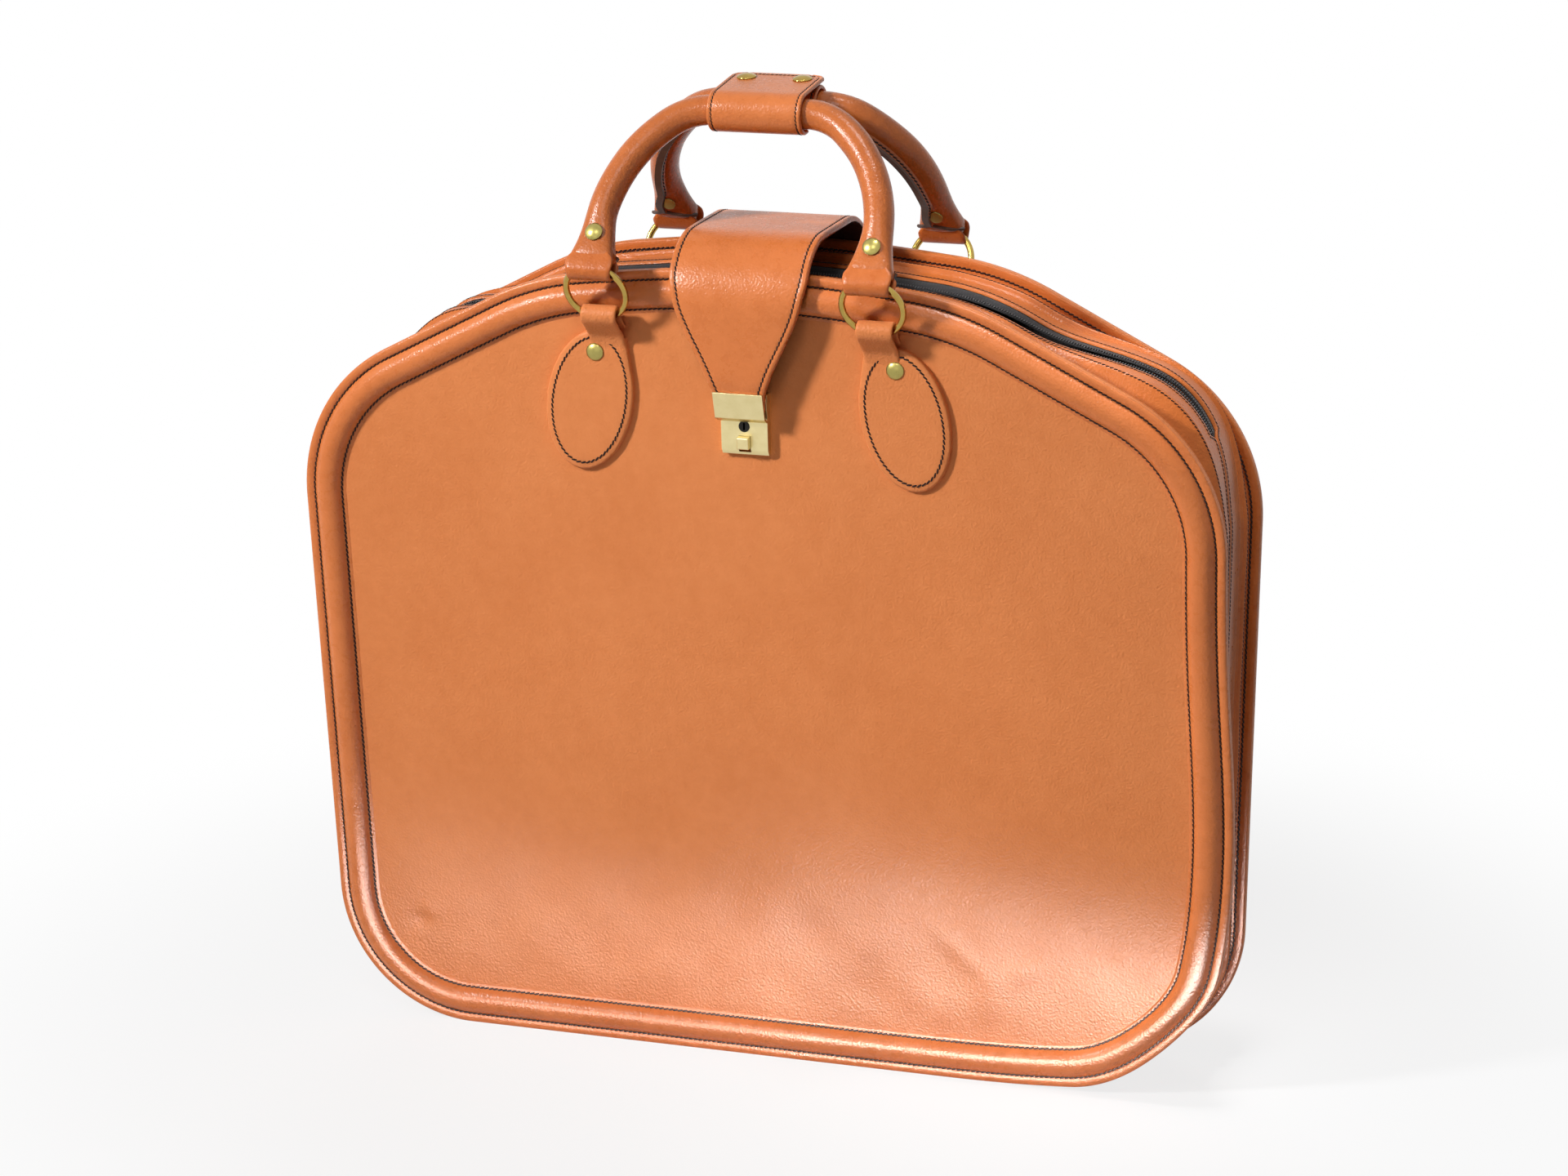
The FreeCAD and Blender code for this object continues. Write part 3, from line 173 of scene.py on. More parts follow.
# Zip
ZIP_END_Z = 415.0
ZIP_END_GAP = 0.8
ZIP_SPREAD = 0.085
ZIP_SHOWN = 6.0
ZIP_DROOP = 0.07
SLIDER_TOP_Z = 455.0
SEAM_GAP = 0.25
TAPE_INSET = 10.6
TAPE_THICKNESS = 0.8
TAPE_TUCK = 7.0
TAPE_SAG = 0.3
TAPE_FOOT_Z = ZIP_END_Z - 8.0
TOOTH_INSET = 9.7
TOOTH_PITCH = 1.7
TOOTH_LENGTH = 2.8
TOOTH_RADIUS = 0.62

# Lining
LINING_INSET = 12.6
LINING_FRONT = 5.6
LINING_TOP = 28.0
LINING_THICKNESS = 0.6

# Chapes
RING_X = 88.0
LOOP_WIDTH = 23.0
CHAPE_Y = -12.7
CHAPE_Z = 484.0
LOOP_MIDDLE = 5.55
LOOP_THICKNESS = 1.9
TAB_THICKNESS = 4.0
TAB_CENTRE = (101.5, 427.0)
TAB_HALF = (45.0, 28.0)
TAB_SPLAY = math.radians(12.3)
NECK_FOOT_Z = 467.0
TAB_STITCH = 4.2
TAB_STEP = 4
TAB_SPACING = 3.0
TAB_EDGE = [
    (7.5, TAB_THICKNESS), (1.6, TAB_THICKNESS), (0.5, TAB_THICKNESS - 0.5), (0.0, TAB_THICKNESS - 1.3),
    (0.0, 0.0),
]
LOOP_STEPS = 14

# Chape neck, as (y, height over its foot), before it goes round the ring and after
NECK_FRONT = [(-2.5, -12), (-3.0, -5), (-5.0, 2)]
NECK_BACK = [(-1.1, 7)]
NECK_TURN = (212, -32)

# Handles, drawn upright with the pivot line on z = 0
PIVOT_Y = -75.980
PIVOT_Z = 514.349
GRIP_Y = 14.0
GRIP_Z = 603.0
GRIP_HALF = 30.0
GRIP_RADIUS = 9.2
LEG_TOP = 29.75
SIDE_RADIUS = 90.0
SIDE_TURN = math.radians(50.2)
TOP_RADIUS = 40.0
FLARE_FOOT = 5.0
FLARE_HALF = 15.2
FLARE_START = 42.0
FLARE_POWER = 1.9
FLARE_SQUARE = 0.6
FLAT_HALF = 6.6
FLAT_START = 45.0
FLAT_END = 19.0
FIN_HEIGHT = 4.0
FIN_HALF = 2.3
FIN_TWIST = math.radians(10.5)
FIN_TURN_IN = math.radians(6.5)
FRONT_FIN_TWIST = math.radians(5)
FIN_FOOT = [(5.6, 25.5), (6.2, 21.5), (6.2, 17.5), (5.6, 13.5)]
FIN_SINK = 0.5
FIN_GROWTH = (0.3, 0.25)
FIN_TAPER = (0.35, 0.2)
FIN_STITCH = (0.05, 1.9)
ROLL_SPACING = 4.0
ROLL_LEAST_STEP = 0.4
ROLL_SIDES = 28
ROLL_WANDER = 0.35
ROLL_WANDER_SIZE = 22
LEG_HEIGHTS = (FLARE_FOOT, 6, 7.5, 9, 11, 14, 17, 20, 24, 28)

# Narrowing of a leg at its rounded foot, as (amount, height where it starts)
FOOT_WIDE = (1.6, 9)
FOOT_THICK = (1.2, 10)

# Fold of a leg under its ring, as (distance from the middle, height), and the height of its middle
LEG_FOLD = [(4.0, 14), (5.1, 9), (LOOP_MIDDLE, 3)]
LEG_FOLD_Z = 8
LEG_FOLD_ROUND = 1.2
LEG_FOLD_NARROW = 6.0
LEG_FOLD_INSIDE = (4, 14)

# Painted edges across a leg, as (across, fall behind the leg's face, height), and their section
EDGE_BRANCHES = [
    [(5.6, 0.0, 13.8), (10.0, 0.6, 11.8), (14.6, 3.36, 8.6)],
    [(5.6, 0.0, 13.8), (0.0, 0.0, 12.4), (-8.0, 0.0, 10.8), (-15.0, 3.6, 8.2)],
]
PAINT_SECTION = [(-1.3, -0.6), (-1.1, 0.6), (0.0, 0.9), (1.1, 0.6), (1.3, -0.6)]

# Snap wrap
WRAP_INNER = 10.3
WRAP_THICKNESS = 2.5
WRAP_START = 285
WRAP_FOLD = 96
FLAP_LENGTH = 41.0
FLAP_CORNER = 7.0
WRAP_STITCH = 3.0
WRAP_STEPS = 40
WRAP_BEND = (Vector((0, -16.0, 613.0)), Vector((0, -12.5, 617.5)))
FLAP_STEPS = 20
FLAP_DROOP = 0.0016
FLAP_FLAT = 26
FLAP_SEWN_HALF = 24

# Strap
STRAP_HALF = 44.0
STRAP_THICKNESS = 4.0
STRAP_Y = 64.0
STRAP_FOLD_Z = 491.0
STRAP_BEND = 40.0
ANCHOR_END_Z = 425.0
ANCHOR_CORNER = 16.0
TONGUE_BEND_Z = 446.0
TONGUE_BEND = math.radians(14)
TONGUE_REACH = 18.0
STRAP_STITCH = 4.0
STRAP_SPACING = 3.0
STRAP_INSIDE = Vector((0, 0, STRAP_FOLD_Z - 20))
REAR_BEND = (480, 506)
FRONT_BEND = (506, 478)

# Heights of the strap's sewn end, and where it peels off the panel to hang free
ANCHOR_HEIGHTS = (ANCHOR_END_Z, 440, 455, 463)
PEEL_FACE_Z = 470
PEEL_Z = 475
PEEL_OFF = 5
PEEL_END_Z = 488

# Half widths of the tongue, as (height, half width)
TONGUE_WIDTHS = [
    (510.0, STRAP_HALF), (491.0, 39.8), (478.0, 34.2), (458.0, 24.0), (440.0, 16.4), (424.0, 15.2),
]

# Broken edges of metal
PLATE_BEVEL = 0.3
SMALL_BEVEL = 0.2

# Width of cloth patterns against the wave that draws them
WAVE_TURN = 6.28

# Camera, fitted to the photographed outline
CAMERA_AZIMUTH = math.radians(19.583)
CAMERA_ELEVATION = math.radians(16.689)
CAMERA_ROLL = math.radians(-1.206)
CAMERA_DISTANCE = 2743.2
CAMERA_AIM_RIGHT = 2.96
CAMERA_AIM_UP = 47.13
LENS = 100.1


# Finishes

def to_linear(colour):
    """Linear RGBA of an sRGB hex colour."""
    channels = [int(colour[i:i + 2], 16) / 255 for i in (1, 3, 5)]
    return [c / 12.92 if c <= 0.04045 else ((c + 0.055) / 1.055) ** 2.4 for c in channels] + [1.0]


def fill(material, made, sockets):
    """Sets or links the input sockets of a node."""
    for name, value in sockets.items():
        if isinstance(value, bpy.types.NodeSocket):
            material.node_tree.links.new(value, made.inputs[name])
        else:
            made.inputs[name].default_value = value


def add_node(material, kind, sockets=None, **settings):
    """Adds a node with its settings and links."""
    made = material.node_tree.nodes.new("ShaderNode" + kind)
    for name, value in settings.items():
        setattr(made, name, value)
    fill(material, made, sockets or {})
    return made


def new_finish(name):
    """A new material, its shader and the place on the piece that patterns are drawn by."""
    material = bpy.data.materials.new(name)
    material.use_nodes = True
    where = add_node(material, "TexCoord").outputs["Object"]
    return material, material.node_tree.nodes["Principled BSDF"], where


def per_mm(size):
    """Texture scale for a pattern whose cells are this many millimetres wide."""
    return 1 / (size * MM)


def cowhide(name, light, deep, roughness, rubbed, wax, pebbling):
    """Vegetable-tanned cowhide, pigmented and plated: soft clouds of colour and a pebbled, waxy grain."""
    material, shader, where = new_finish(name)
    cloud = add_node(material, "TexNoise", {"Vector": where, "Scale": per_mm(70), "Detail": 4,
                                            "Roughness": 0.55})
    rub = add_node(material, "TexNoise", {"Vector": where, "Scale": per_mm(9), "Detail": 6,
                                          "Roughness": 0.65})
    blend = add_node(material, "Math", {0: cloud.outputs["Fac"], 1: rub.outputs["Fac"]}, operation="ADD")
    share = add_node(material, "MapRange", {"Value": blend.outputs[0], "From Min": 0.72, "From Max": 1.3})
    tone = add_node(material, "Mix", {0: share.outputs[0], 6: to_linear(deep), 7: to_linear(light)},
                    data_type="RGBA")
    # Rubbed spots have lost their pigment and taken up dirt
    spot = add_node(material, "TexNoise", {"Vector": where, "Scale": per_mm(5), "Detail": 5,
                                           "Roughness": 0.7})
    dirt = add_node(material, "MapRange", {"Value": spot.outputs["Fac"], "From Min": 0.76 - rubbed,
                                           "From Max": 0.84 - rubbed, "To Max": 0.8})
    tone = add_node(material, "Mix", {0: dirt.outputs[0], 6: tone.outputs[2], 7: to_linear("#3A2116")},
                    data_type="RGBA")
    # Real pebbles are about 1 mm across; these are drawn at 1.4 mm so that they show
    pebble = add_node(material, "TexVoronoi", {"Vector": where, "Scale": per_mm(1.4), "Randomness": 1.0},
                      feature="SMOOTH_F1")
    crease = add_node(material, "TexNoise", {"Vector": where, "Scale": per_mm(1.3), "Detail": 3})
    grain = add_node(material, "Math", {0: pebble.outputs["Distance"], 1: crease.outputs["Fac"]},
                     operation="ADD")
    bump = add_node(material, "Bump", {"Height": grain.outputs[0], "Strength": pebbling,
                                       "Distance": 0.35 * MM})
    wear = add_node(material, "MapRange", {"Value": rub.outputs["Fac"], "From Min": 0.3, "From Max": 0.7,
                                           "To Min": roughness - 0.05, "To Max": roughness + 0.07})
    fill(material, shader, {"Base Color": tone.outputs[2], "Roughness": wear.outputs[0],
                            "Normal": bump.outputs["Normal"], "IOR": 1.5, "Specular IOR Level": wax})
    return material


def painted_edge():
    """Cut leather edge sealed with dark paint: a thin, slightly glossy brown film."""
    material, shader, where = new_finish("edge_painted_leather")
    fibre = add_node(material, "TexNoise", {"Vector": where, "Scale": per_mm(3), "Detail": 4})
    tone = add_node(material, "Mix", {0: fibre.outputs["Fac"], 6: to_linear("#33211A"),
                                      7: to_linear("#5C3D2C")}, data_type="RGBA")
    bump = add_node(material, "Bump", {"Height": fibre.outputs["Fac"], "Strength": 0.3,
                                       "Distance": 0.3 * MM})
    fill(material, shader, {"Base Color": tone.outputs[2], "Roughness": 0.5,
                            "Normal": bump.outputs["Normal"]})
    return material


def suede_and_painted_shade():
    """Flesh side of split hide, dyed dark and brushed: a matt nap that drinks the light; under the strap its
    dark tone is also painted shade.
    """
    material, shader, where = new_finish("suede_and_painted_shade")
    nap = add_node(material, "TexNoise", {"Vector": where, "Scale": per_mm(1.2), "Detail": 5})
    tone = add_node(material, "Mix", {0: nap.outputs["Fac"], 6: to_linear("#2A1812"),
                                      7: to_linear("#4A2E22")}, data_type="RGBA")
    bump = add_node(material, "Bump", {"Height": nap.outputs["Fac"], "Strength": 0.5, "Distance": 0.3 * MM})
    fill(material, shader, {"Base Color": tone.outputs[2], "Roughness": 0.95,
                            "Normal": bump.outputs["Normal"], "Specular IOR Level": 0.1})
    return material


def waxed_thread():
    """Waxed polyester thread, twisted from plies: near black, with a dull wax shine on its ridges."""
    material, shader, where = new_finish("waxed_polyester_thread")
    ply = add_node(material, "TexNoise", {"Vector": where, "Scale": per_mm(0.8), "Detail": 2})
    tone = add_node(material, "Mix", {0: ply.outputs["Fac"], 6: to_linear("#170C08"),
                                      7: to_linear("#33201A")}, data_type="RGBA")
    fill(material, shader, {"Base Color": tone.outputs[2], "Roughness": 0.65, "Specular IOR Level": 0.2})
    return material


def worked_metal(name, light, deep, roughness, brush):
    """Brass or steel as worked: two close tones in tarnish clouds, and the lines of its last polishing."""
    material, shader, where = new_finish(name)
    tarnish = add_node(material, "TexNoise", {"Vector": where, "Scale": per_mm(6), "Detail": 5,
                                              "Roughness": 0.6})
    tone = add_node(material, "Mix", {0: tarnish.outputs["Fac"], 6: to_linear(deep), 7: to_linear(light)},
                    data_type="RGBA")
    squeeze = add_node(material, "Mapping", {"Vector": where, "Scale": (0.05, 1.0, 1.0)})
    # Polishing lines are hundredths of a millimetre apart; these are drawn at 0.4 mm so that they show
    lines = add_node(material, "TexNoise", {"Vector": squeeze.outputs[0], "Scale": per_mm(0.4), "Detail": 2})
    bump = add_node(material, "Bump", {"Height": lines.outputs["Fac"], "Strength": brush,
                                       "Distance": 0.05 * MM})
    rough = add_node(material, "MapRange", {"Value": tarnish.outputs["Fac"], "From Min": 0.3,
                                            "From Max": 0.7, "To Min": roughness - 0.04,
                                            "To Max": roughness + 0.08})
    fill(material, shader, {"Base Color": tone.outputs[2], "Metallic": 1.0, "Roughness": rough.outputs[0],
                            "Normal": bump.outputs["Normal"]})
    return material


def woven(name, light, deep, thread):
    """Plain woven cloth: crossing rows of thread that catch the light in turn."""
    material, shader, where = new_finish(name)
    # Threads lie about 0.5 mm apart; these are drawn about 1.7 mm apart so that they show
    weave = {"Vector": where, "Scale": per_mm(thread * WAVE_TURN), "Distortion": 0.6}
    warp = add_node(material, "TexWave", weave, bands_direction="X")
    weft = add_node(material, "TexWave", weave, bands_direction="Z")
    cross = add_node(material, "Math", {0: warp.outputs["Fac"], 1: weft.outputs["Fac"]},
                     operation="MULTIPLY")
    tone = add_node(material, "Mix", {0: cross.outputs[0], 6: to_linear(deep), 7: to_linear(light)},
                    data_type="RGBA")
    bump = add_node(material, "Bump", {"Height": cross.outputs[0], "Strength": 0.4, "Distance": 0.2 * MM})
    fill(material, shader, {"Base Color": tone.outputs[2], "Roughness": 0.85,
                            "Normal": bump.outputs["Normal"], "Sheen Weight": 0.2})
    return material


def nylon_coil():
    """Extruded nylon monofilament: smooth black with a soft shine."""
    material, shader, where = new_finish("extruded_nylon_coil")
    scuff = add_node(material, "TexNoise", {"Vector": where, "Scale": per_mm(4), "Detail": 3})
    rough = add_node(material, "MapRange", {"Value": scuff.outputs["Fac"], "To Min": 0.3, "To Max": 0.5})
    fill(material, shader, {"Base Color": to_linear("#1C191B"), "Roughness": rough.outputs[0], "IOR": 1.53})
    return material


def greyboard():
    """Pressed recycled pulp: matt grey with short flecks of fibre."""
    material, shader, where = new_finish("pressed_greyboard")
    fleck = add_node(material, "TexNoise", {"Vector": where, "Scale": per_mm(1.5), "Detail": 6})
    tone = add_node(material, "Mix", {0: fleck.outputs["Fac"], 6: to_linear("#6E665C"),
                                      7: to_linear("#9A9184")}, data_type="RGBA")
    fill(material, shader, {"Base Color": tone.outputs[2], "Roughness": 0.9})
    return material


# Leathers, as light and deep colour, roughness, rubbed share, wax shine and strength of the pebbles
PANEL_HIDE = cowhide("plated_cowhide_panel", "#DC864F", "#D37D47", 0.4, 0.0, 0.16, 0.75)
TRIM_HIDE = cowhide("plated_cowhide_trim", "#D67B43", "#CA7038", 0.28, 0.02, 0.28, 0.45)
GUSSET_HIDE = cowhide("folded_cowhide_gusset", "#CF743B", "#BF662D", 0.3, 0.02, 0.2, 0.45)
RUBBED_HIDE = cowhide("hand_rubbed_cowhide", "#CC7138", "#B75E28", 0.29, 0.07, 0.26, 0.35)
# The handles take a deeper copy of the trim leather; the extra depth is painted shade for their shaded legs
HANDLE_HIDE = cowhide("handle_cowhide_painted_shade", "#C46C33", "#AE5A24", 0.26, 0.03, 0.32, 0.4)
EDGE_PAINT = painted_edge()
DARK_SUEDE_WITH_PAINTED_SHADE = suede_and_painted_shade()
THREAD = waxed_thread()
# Brushed plates scatter a pale gleam, polished rings mirror the room, aged rivets look dull and greenish
SATIN_BRASS = worked_metal("brushed_brass", "#E6D7A6", "#D3C188", 0.34, 0.5)
POLISHED_BRASS = worked_metal("polished_brass", "#C6A95C", "#94793A", 0.16, 0.05)
AGED_BRASS = worked_metal("aged_brass", "#BBAC66", "#8F8448", 0.3, 0.1)
ZIP_CLOTH = woven("woven_polyester_tape", "#262224", "#100E10", 0.9)
LINING_CLOTH = woven("cotton_twill_lining", "#2A1D19", "#150E0C", 0.8)
# Blacked steel keeps a dull gleam under its dark oxide
BLACKED_STEEL = worked_metal("blacked_steel", "#3A3733", "#23211F", 0.4, 0.2)
ZIP_NYLON = nylon_coil()
BOARD = greyboard()


# Mesh making

def skin(rings, closed=True, wrap=False):
    """A skin over rows of points; closed rows are loops, and wrap joins the last row to the first."""
    made = bmesh.new()
    rows = [[made.verts.new(p * MM) for p in ring] for ring in rings]
    for i in range(len(rows) if wrap else len(rows) - 1):
        here = rows[i]
        there = rows[(i + 1) % len(rows)]
        for j in range(len(here) if closed else len(here) - 1):
            k = (j + 1) % len(here)
            made.faces.new((here[j], here[k], there[k], there[j]))
    if closed and not wrap:
        made.faces.new(rows[0])
        made.faces.new(rows[-1])
    bmesh.ops.remove_doubles(made, verts=made.verts, dist=0.002 * MM)
    bmesh.ops.recalc_face_normals(made, faces=made.faces)
    return made


def beads(places, thickness, length):
    """Short rounded threads; each place is its middle, its direction and the side it is seen from."""
    made = bmesh.new()
    half = length / 2
    for middle, along, up in places:
        across = along.cross(up).normalized()
        rows = []
        for share, swell, sink in THREAD_OUTLINE:
            centre = middle + along * (share * half) + up * (sink * thickness)
            row = []
            for k in range(THREAD_SIDES):
                turn = 2 * math.pi * k / THREAD_SIDES
                offset = across * math.cos(turn) + up * math.sin(turn)
                row.append(made.verts.new((centre + offset * (thickness * swell)) * MM))
            rows.append(row)
        for here, there in zip(rows, rows[1:]):
            for k in range(THREAD_SIDES):
                made.faces.new((here[k], here[k - 1], there[k - 1], there[k]))
        made.faces.new(rows[0])
        made.faces.new(rows[-1][::-1])
    bmesh.ops.recalc_face_normals(made, faces=made.faces)
    return made


def joined(name, parts, material, sharp=50):
    """One object from several skins."""
    whole = bpy.data.meshes.new(name)
    gather = bmesh.new()
    for part in parts:
        single = bpy.data.meshes.new("part")
        part.to_mesh(single)
        part.free()
        gather.from_mesh(single)
        bpy.data.meshes.remove(single)
    gather.to_mesh(whole)
    gather.free()
    whole.shade_smooth()
    whole.set_sharp_from_angle(angle=math.radians(sharp))
    whole.materials.append(material)
    made = bpy.data.objects.new(name, whole)
    bpy.context.scene.collection.objects.link(made)
    return made


def dress(piece, slot, body, *nodes):
    """Hangs a piece on the body it rides on and hides the solids it stands for; the finish slot is not used.
    """
    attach(piece, body)
    if nodes:
        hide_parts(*nodes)


def bend_between(piece, slot, bodies, start, end, *nodes):
    """Bakes the placement of leather that lies across a joint into its mesh and hides the solids it stands
    for; its slot, bodies and bend ends are not used.
    """
    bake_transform(piece)
    if nodes:
        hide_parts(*nodes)


def spaced(path, pitch, closed=False):
    """Middles, directions and up sides at even steps along a path of (place, up) pairs."""
    places = [p for p, _ in path]
    ups = [u for _, u in path]
    if closed:
        places.append(places[0])
        ups.append(ups[0])
    lengths = [(b - a).length for a, b in zip(places, places[1:])]
    count = max(1, round(sum(lengths) / pitch))
    step = sum(lengths) / count
    found = []
    walked = 0.0
    i = 0
    for k in range(count):
        target = (k + 0.5) * step
        while i < len(lengths) - 1 and walked + lengths[i] < target:
            walked += lengths[i]
            i += 1
        share = (target - walked) / max(lengths[i], 1e-9)
        found.append((
            places[i].lerp(places[i + 1], share),
            (places[i + 1] - places[i]).normalized(),
            ups[i].lerp(ups[i + 1], share).normalized(),
        ))
    return found


def sewn(path, closed=False, fine=False):
    """A row of stitches along a path of (place, up) pairs."""
    pitch, length, thread = STITCH_PITCH, STITCH_LENGTH, THREAD_RADIUS
    if fine:
        pitch, length, thread = FINE_PITCH, FINE_LENGTH, FINE_THREAD
    slanted = []
    for middle, along, up in spaced(path, pitch, closed):
        slanted.append((middle, Matrix.Rotation(STITCH_SLANT, 3, up) @ along, up))
    return beads(slanted, thread, length)


def uneven(place, size, amount, apart=0):
    """A small smooth wander of hand-made leather at a place; apart keeps one wander unlike another."""
    return noise.noise((place + Y_AXIS * apart) / size) * amount


# Halves of the case

def case_edge():
    """Places along the case's edge, each with its outward direction."""
    corners = [Vector((x, 0, z)) for x, z, _ in OUTLINE]
    count = len(corners)
    rounds = []
    for i, (_, _, radius) in enumerate(OUTLINE):
        arrive = (corners[i] - corners[i - 1]).normalized()
        leave = (corners[(i + 1) % count] - corners[i]).normalized()
        turn = arrive.angle(leave)
        inward = (leave - arrive).normalized()
        centre = corners[i] + inward * (radius / math.cos(turn / 2))
        steps = max(2, math.ceil(radius * turn / EDGE_SPACING))
        outwards = [Matrix.Rotation(-turn * k / steps, 3, "Y") @ Vector((arrive.z, 0, -arrive.x))
                    for k in range(steps + 1)]
        rounds.append([(centre + outward * radius, outward) for outward in outwards])
    edge = []
    for i, corner in enumerate(rounds):
        edge += corner
        start = corner[-1]
        end = rounds[(i + 1) % count][0]
        steps = max(1, round((end[0] - start[0]).length / EDGE_SPACING))
        edge += [(start[0].lerp(end[0], k / steps), start[1]) for k in range(1, steps)]
    return edge


EDGE = case_edge()


def eased_share(value, start, end):
    """Goes smoothly from 0 at start to 1 at end."""
    t = min(1.0, max(0.0, (value - start) / (end - start)))
    return t * t * (3 - 2 * t)


def slumped(place):
    """An upright place on the front half, whose side has settled outwards over a rounder right foot."""
    hold = 1 - eased_share(place.y, *SLUMP_BEHIND)
    side = SLUMP * math.exp(-((place.z - SLUMP_Z) / SLUMP_REACH) ** 2)
    side *= eased_share(place.x, *SLUMP_ACROSS)
    from_x = (place.x - TUCK_PLACE[0]) / TUCK_REACH[0]
    from_z = (place.z - TUCK_PLACE[1]) / TUCK_REACH[1]
    tuck = TUCK * math.exp(-from_x ** 2 - from_z ** 2)
    return place + Vector((side - tuck, 0, tuck)) * hold


def turned(direction, facing):
    """Tips an upright direction outwards; facing is 1 at the front and -1 at the rear."""
    y = direction.y * math.cos(LEAN) - direction.z * math.sin(LEAN)
    z = direction.y * math.sin(LEAN) + direction.z * math.cos(LEAN)
    return Vector((facing * direction.x, facing * y, z))


def on_half(place, facing):
    """Tips an upright place on a half of the case outwards."""
    if facing > 0:
        place = slumped(place)
    return turned(place, facing) - Y_AXIS * (facing * HALF_DEPTH)


def in_from(place, outward, inset, y):
    """A place set in from the edge and back from the panel's face."""
    return place - outward * inset + Y_AXIS * y


def ridge(x, z, mark):
    """Height of one crease or dent at a place on the panel."""
    middle_x, middle_z, tilt, half_length, half_width, height = mark
    along = (x - middle_x) * math.cos(tilt) + (z - middle_z) * math.sin(tilt)
    across = (z - middle_z) * math.cos(tilt) - (x - middle_x) * math.sin(tilt)
    return height * math.exp(-(along / half_length) ** 2 - (across / half_width) ** 2)


def panel_swell(x, z):
    """How far the panel's leather stands off its board."""
    reach = BELLY_REACH_UP if z > BELLY_Z else BELLY_REACH_DOWN
    belly = BELLY * math.exp(-((z - BELLY_Z) / reach) ** 2) * max(0.0, 1 - (x / BELLY_HALF) ** 4)
    marks = sum(ridge(x, z, mark) for mark in PANEL_MARKS)
    place = Vector((x, 0, z))
    wander = uneven(place, WANDER_SIZE, WANDER, 7) * max(0.0, 1 - (z / WANDER_TOP_Z) ** 8)
    ripple = uneven(place, RIPPLE_SIZE, RIPPLE, 30)
    ripple *= eased_share(z, *RIPPLE_TOP) * eased_share(z, *RIPPLE_FOOT)
    return belly + marks + (wander + ripple) * max(0.0, 1 - (x / PANEL_HALF) ** 6)


def make_panel(half, facing):
    """Panel leather: a sheet that runs from the middle to the edge and back behind."""
    middle = Vector((0, 0, CASE_MIDDLE_Z))
    round_in, round_back = PANEL_ROUND
    rings = []
    for place, outward in EDGE:
        ring = []
        rim = place - outward * round_in
        for k in range(PANEL_STEPS):
            share = k / PANEL_STEPS
            p = middle.lerp(rim, share)
            ring.append(p - Y_AXIS * panel_swell(p.x, p.z) * (1 - share ** RIM_HOLD))
        ring += [rim, place + Y_AXIS * round_back, place + Y_AXIS * (PANEL_THICKNESS - round_back),
                 rim + Y_AXIS * PANEL_THICKNESS, middle + Y_AXIS * PANEL_THICKNESS]
        rings.append([on_half(p, facing) for p in ring])
    piece = joined(half + "_panel_leather", [skin(rings, closed=False, wrap=True)], PANEL_HIDE)
    dress(piece, "tan_leather", "case", half + "_panel")


def make_border(half, facing):
    """Border leather over its cord, pinched at each row of stitches."""
    rings = []
    for place, outward in EDGE:
        swell = 1 + uneven(place, BORDER_SWELL_SIZE, BORDER_SWELL, 40 * facing)
        ring = [in_from(place, outward, inset, -height * swell) for inset, height in BORDER]
        rings.append([on_half(p, facing) for p in ring])
    piece = joined(half + "_border_leather", [skin(rings, wrap=True)], TRIM_HIDE)
    dress(piece, "tan_leather", "case", half + "_border", half + "_border_cord")
    rows = []
    up = turned(-Y_AXIS, facing)
    for inset, height in BORDER_STITCHES:
        path = [(on_half(in_from(place, outward, inset, -height), facing), up) for place, outward in EDGE]
        rows.append(sewn(path, closed=True))
    dress(joined(half + "_border_stitching", rows, THREAD), "cord", "case")


def zip_line(place):
    """Distance of the front zip row from the middle plane at a place on the edge."""
    return ZIP_END_GAP + ZIP_SPREAD * max(0.0, place.z - ZIP_END_Z)


def zip_droop(place):
    """How far the tape's free edge sinks where the mouth stands open, above the slider's run."""
    return ZIP_DROOP * max(0.0, place.z - SLIDER_TOP_Z)


def depth_at(place, from_middle):
    """Depth behind the panel's face of a plane set forward of the middle plane."""
    return (HALF_DEPTH - from_middle + place.z * math.sin(LEAN)) / math.cos(LEAN)


def strip_end(place):
    """Depth of the zip strip's edge; below the zip the two strips meet in a seam."""
    if place.z > ZIP_END_Z:
        return depth_at(place, zip_line(place) + ZIP_SHOWN)
    return depth_at(place, SEAM_GAP)


def slack_rise(place, depth, facing):
    """How far the loose gusset stands up over each shoulder, where the mouth begins to open."""
    seen_from_front = Vector((facing * place.x, 0, place.z))
    rise = 0.0
    for middle, reach, height, start, end in SLACKS:
        near = max(0.0, 1 - ((seen_from_front - middle).length / reach) ** 2)
        rise += height * near ** 2 * eased_share(depth, start, end)
    return rise


def on_gusset(place, outward, inset, depth, facing):
    """A place on the gusset, with the wander of folded leather between the flange and the zip strip."""
    start, width = GUSSET_LOOSE
    wander = uneven(place, GUSSET_WANDER_SIZE, GUSSET_WANDER, 90 * facing)
    loose = math.sin(math.pi * min(1.0, max(0.0, (depth - start) / width))) * wander
    loose += slack_rise(place, depth, facing)
    return on_half(in_from(place, outward, inset - loose, depth), facing)


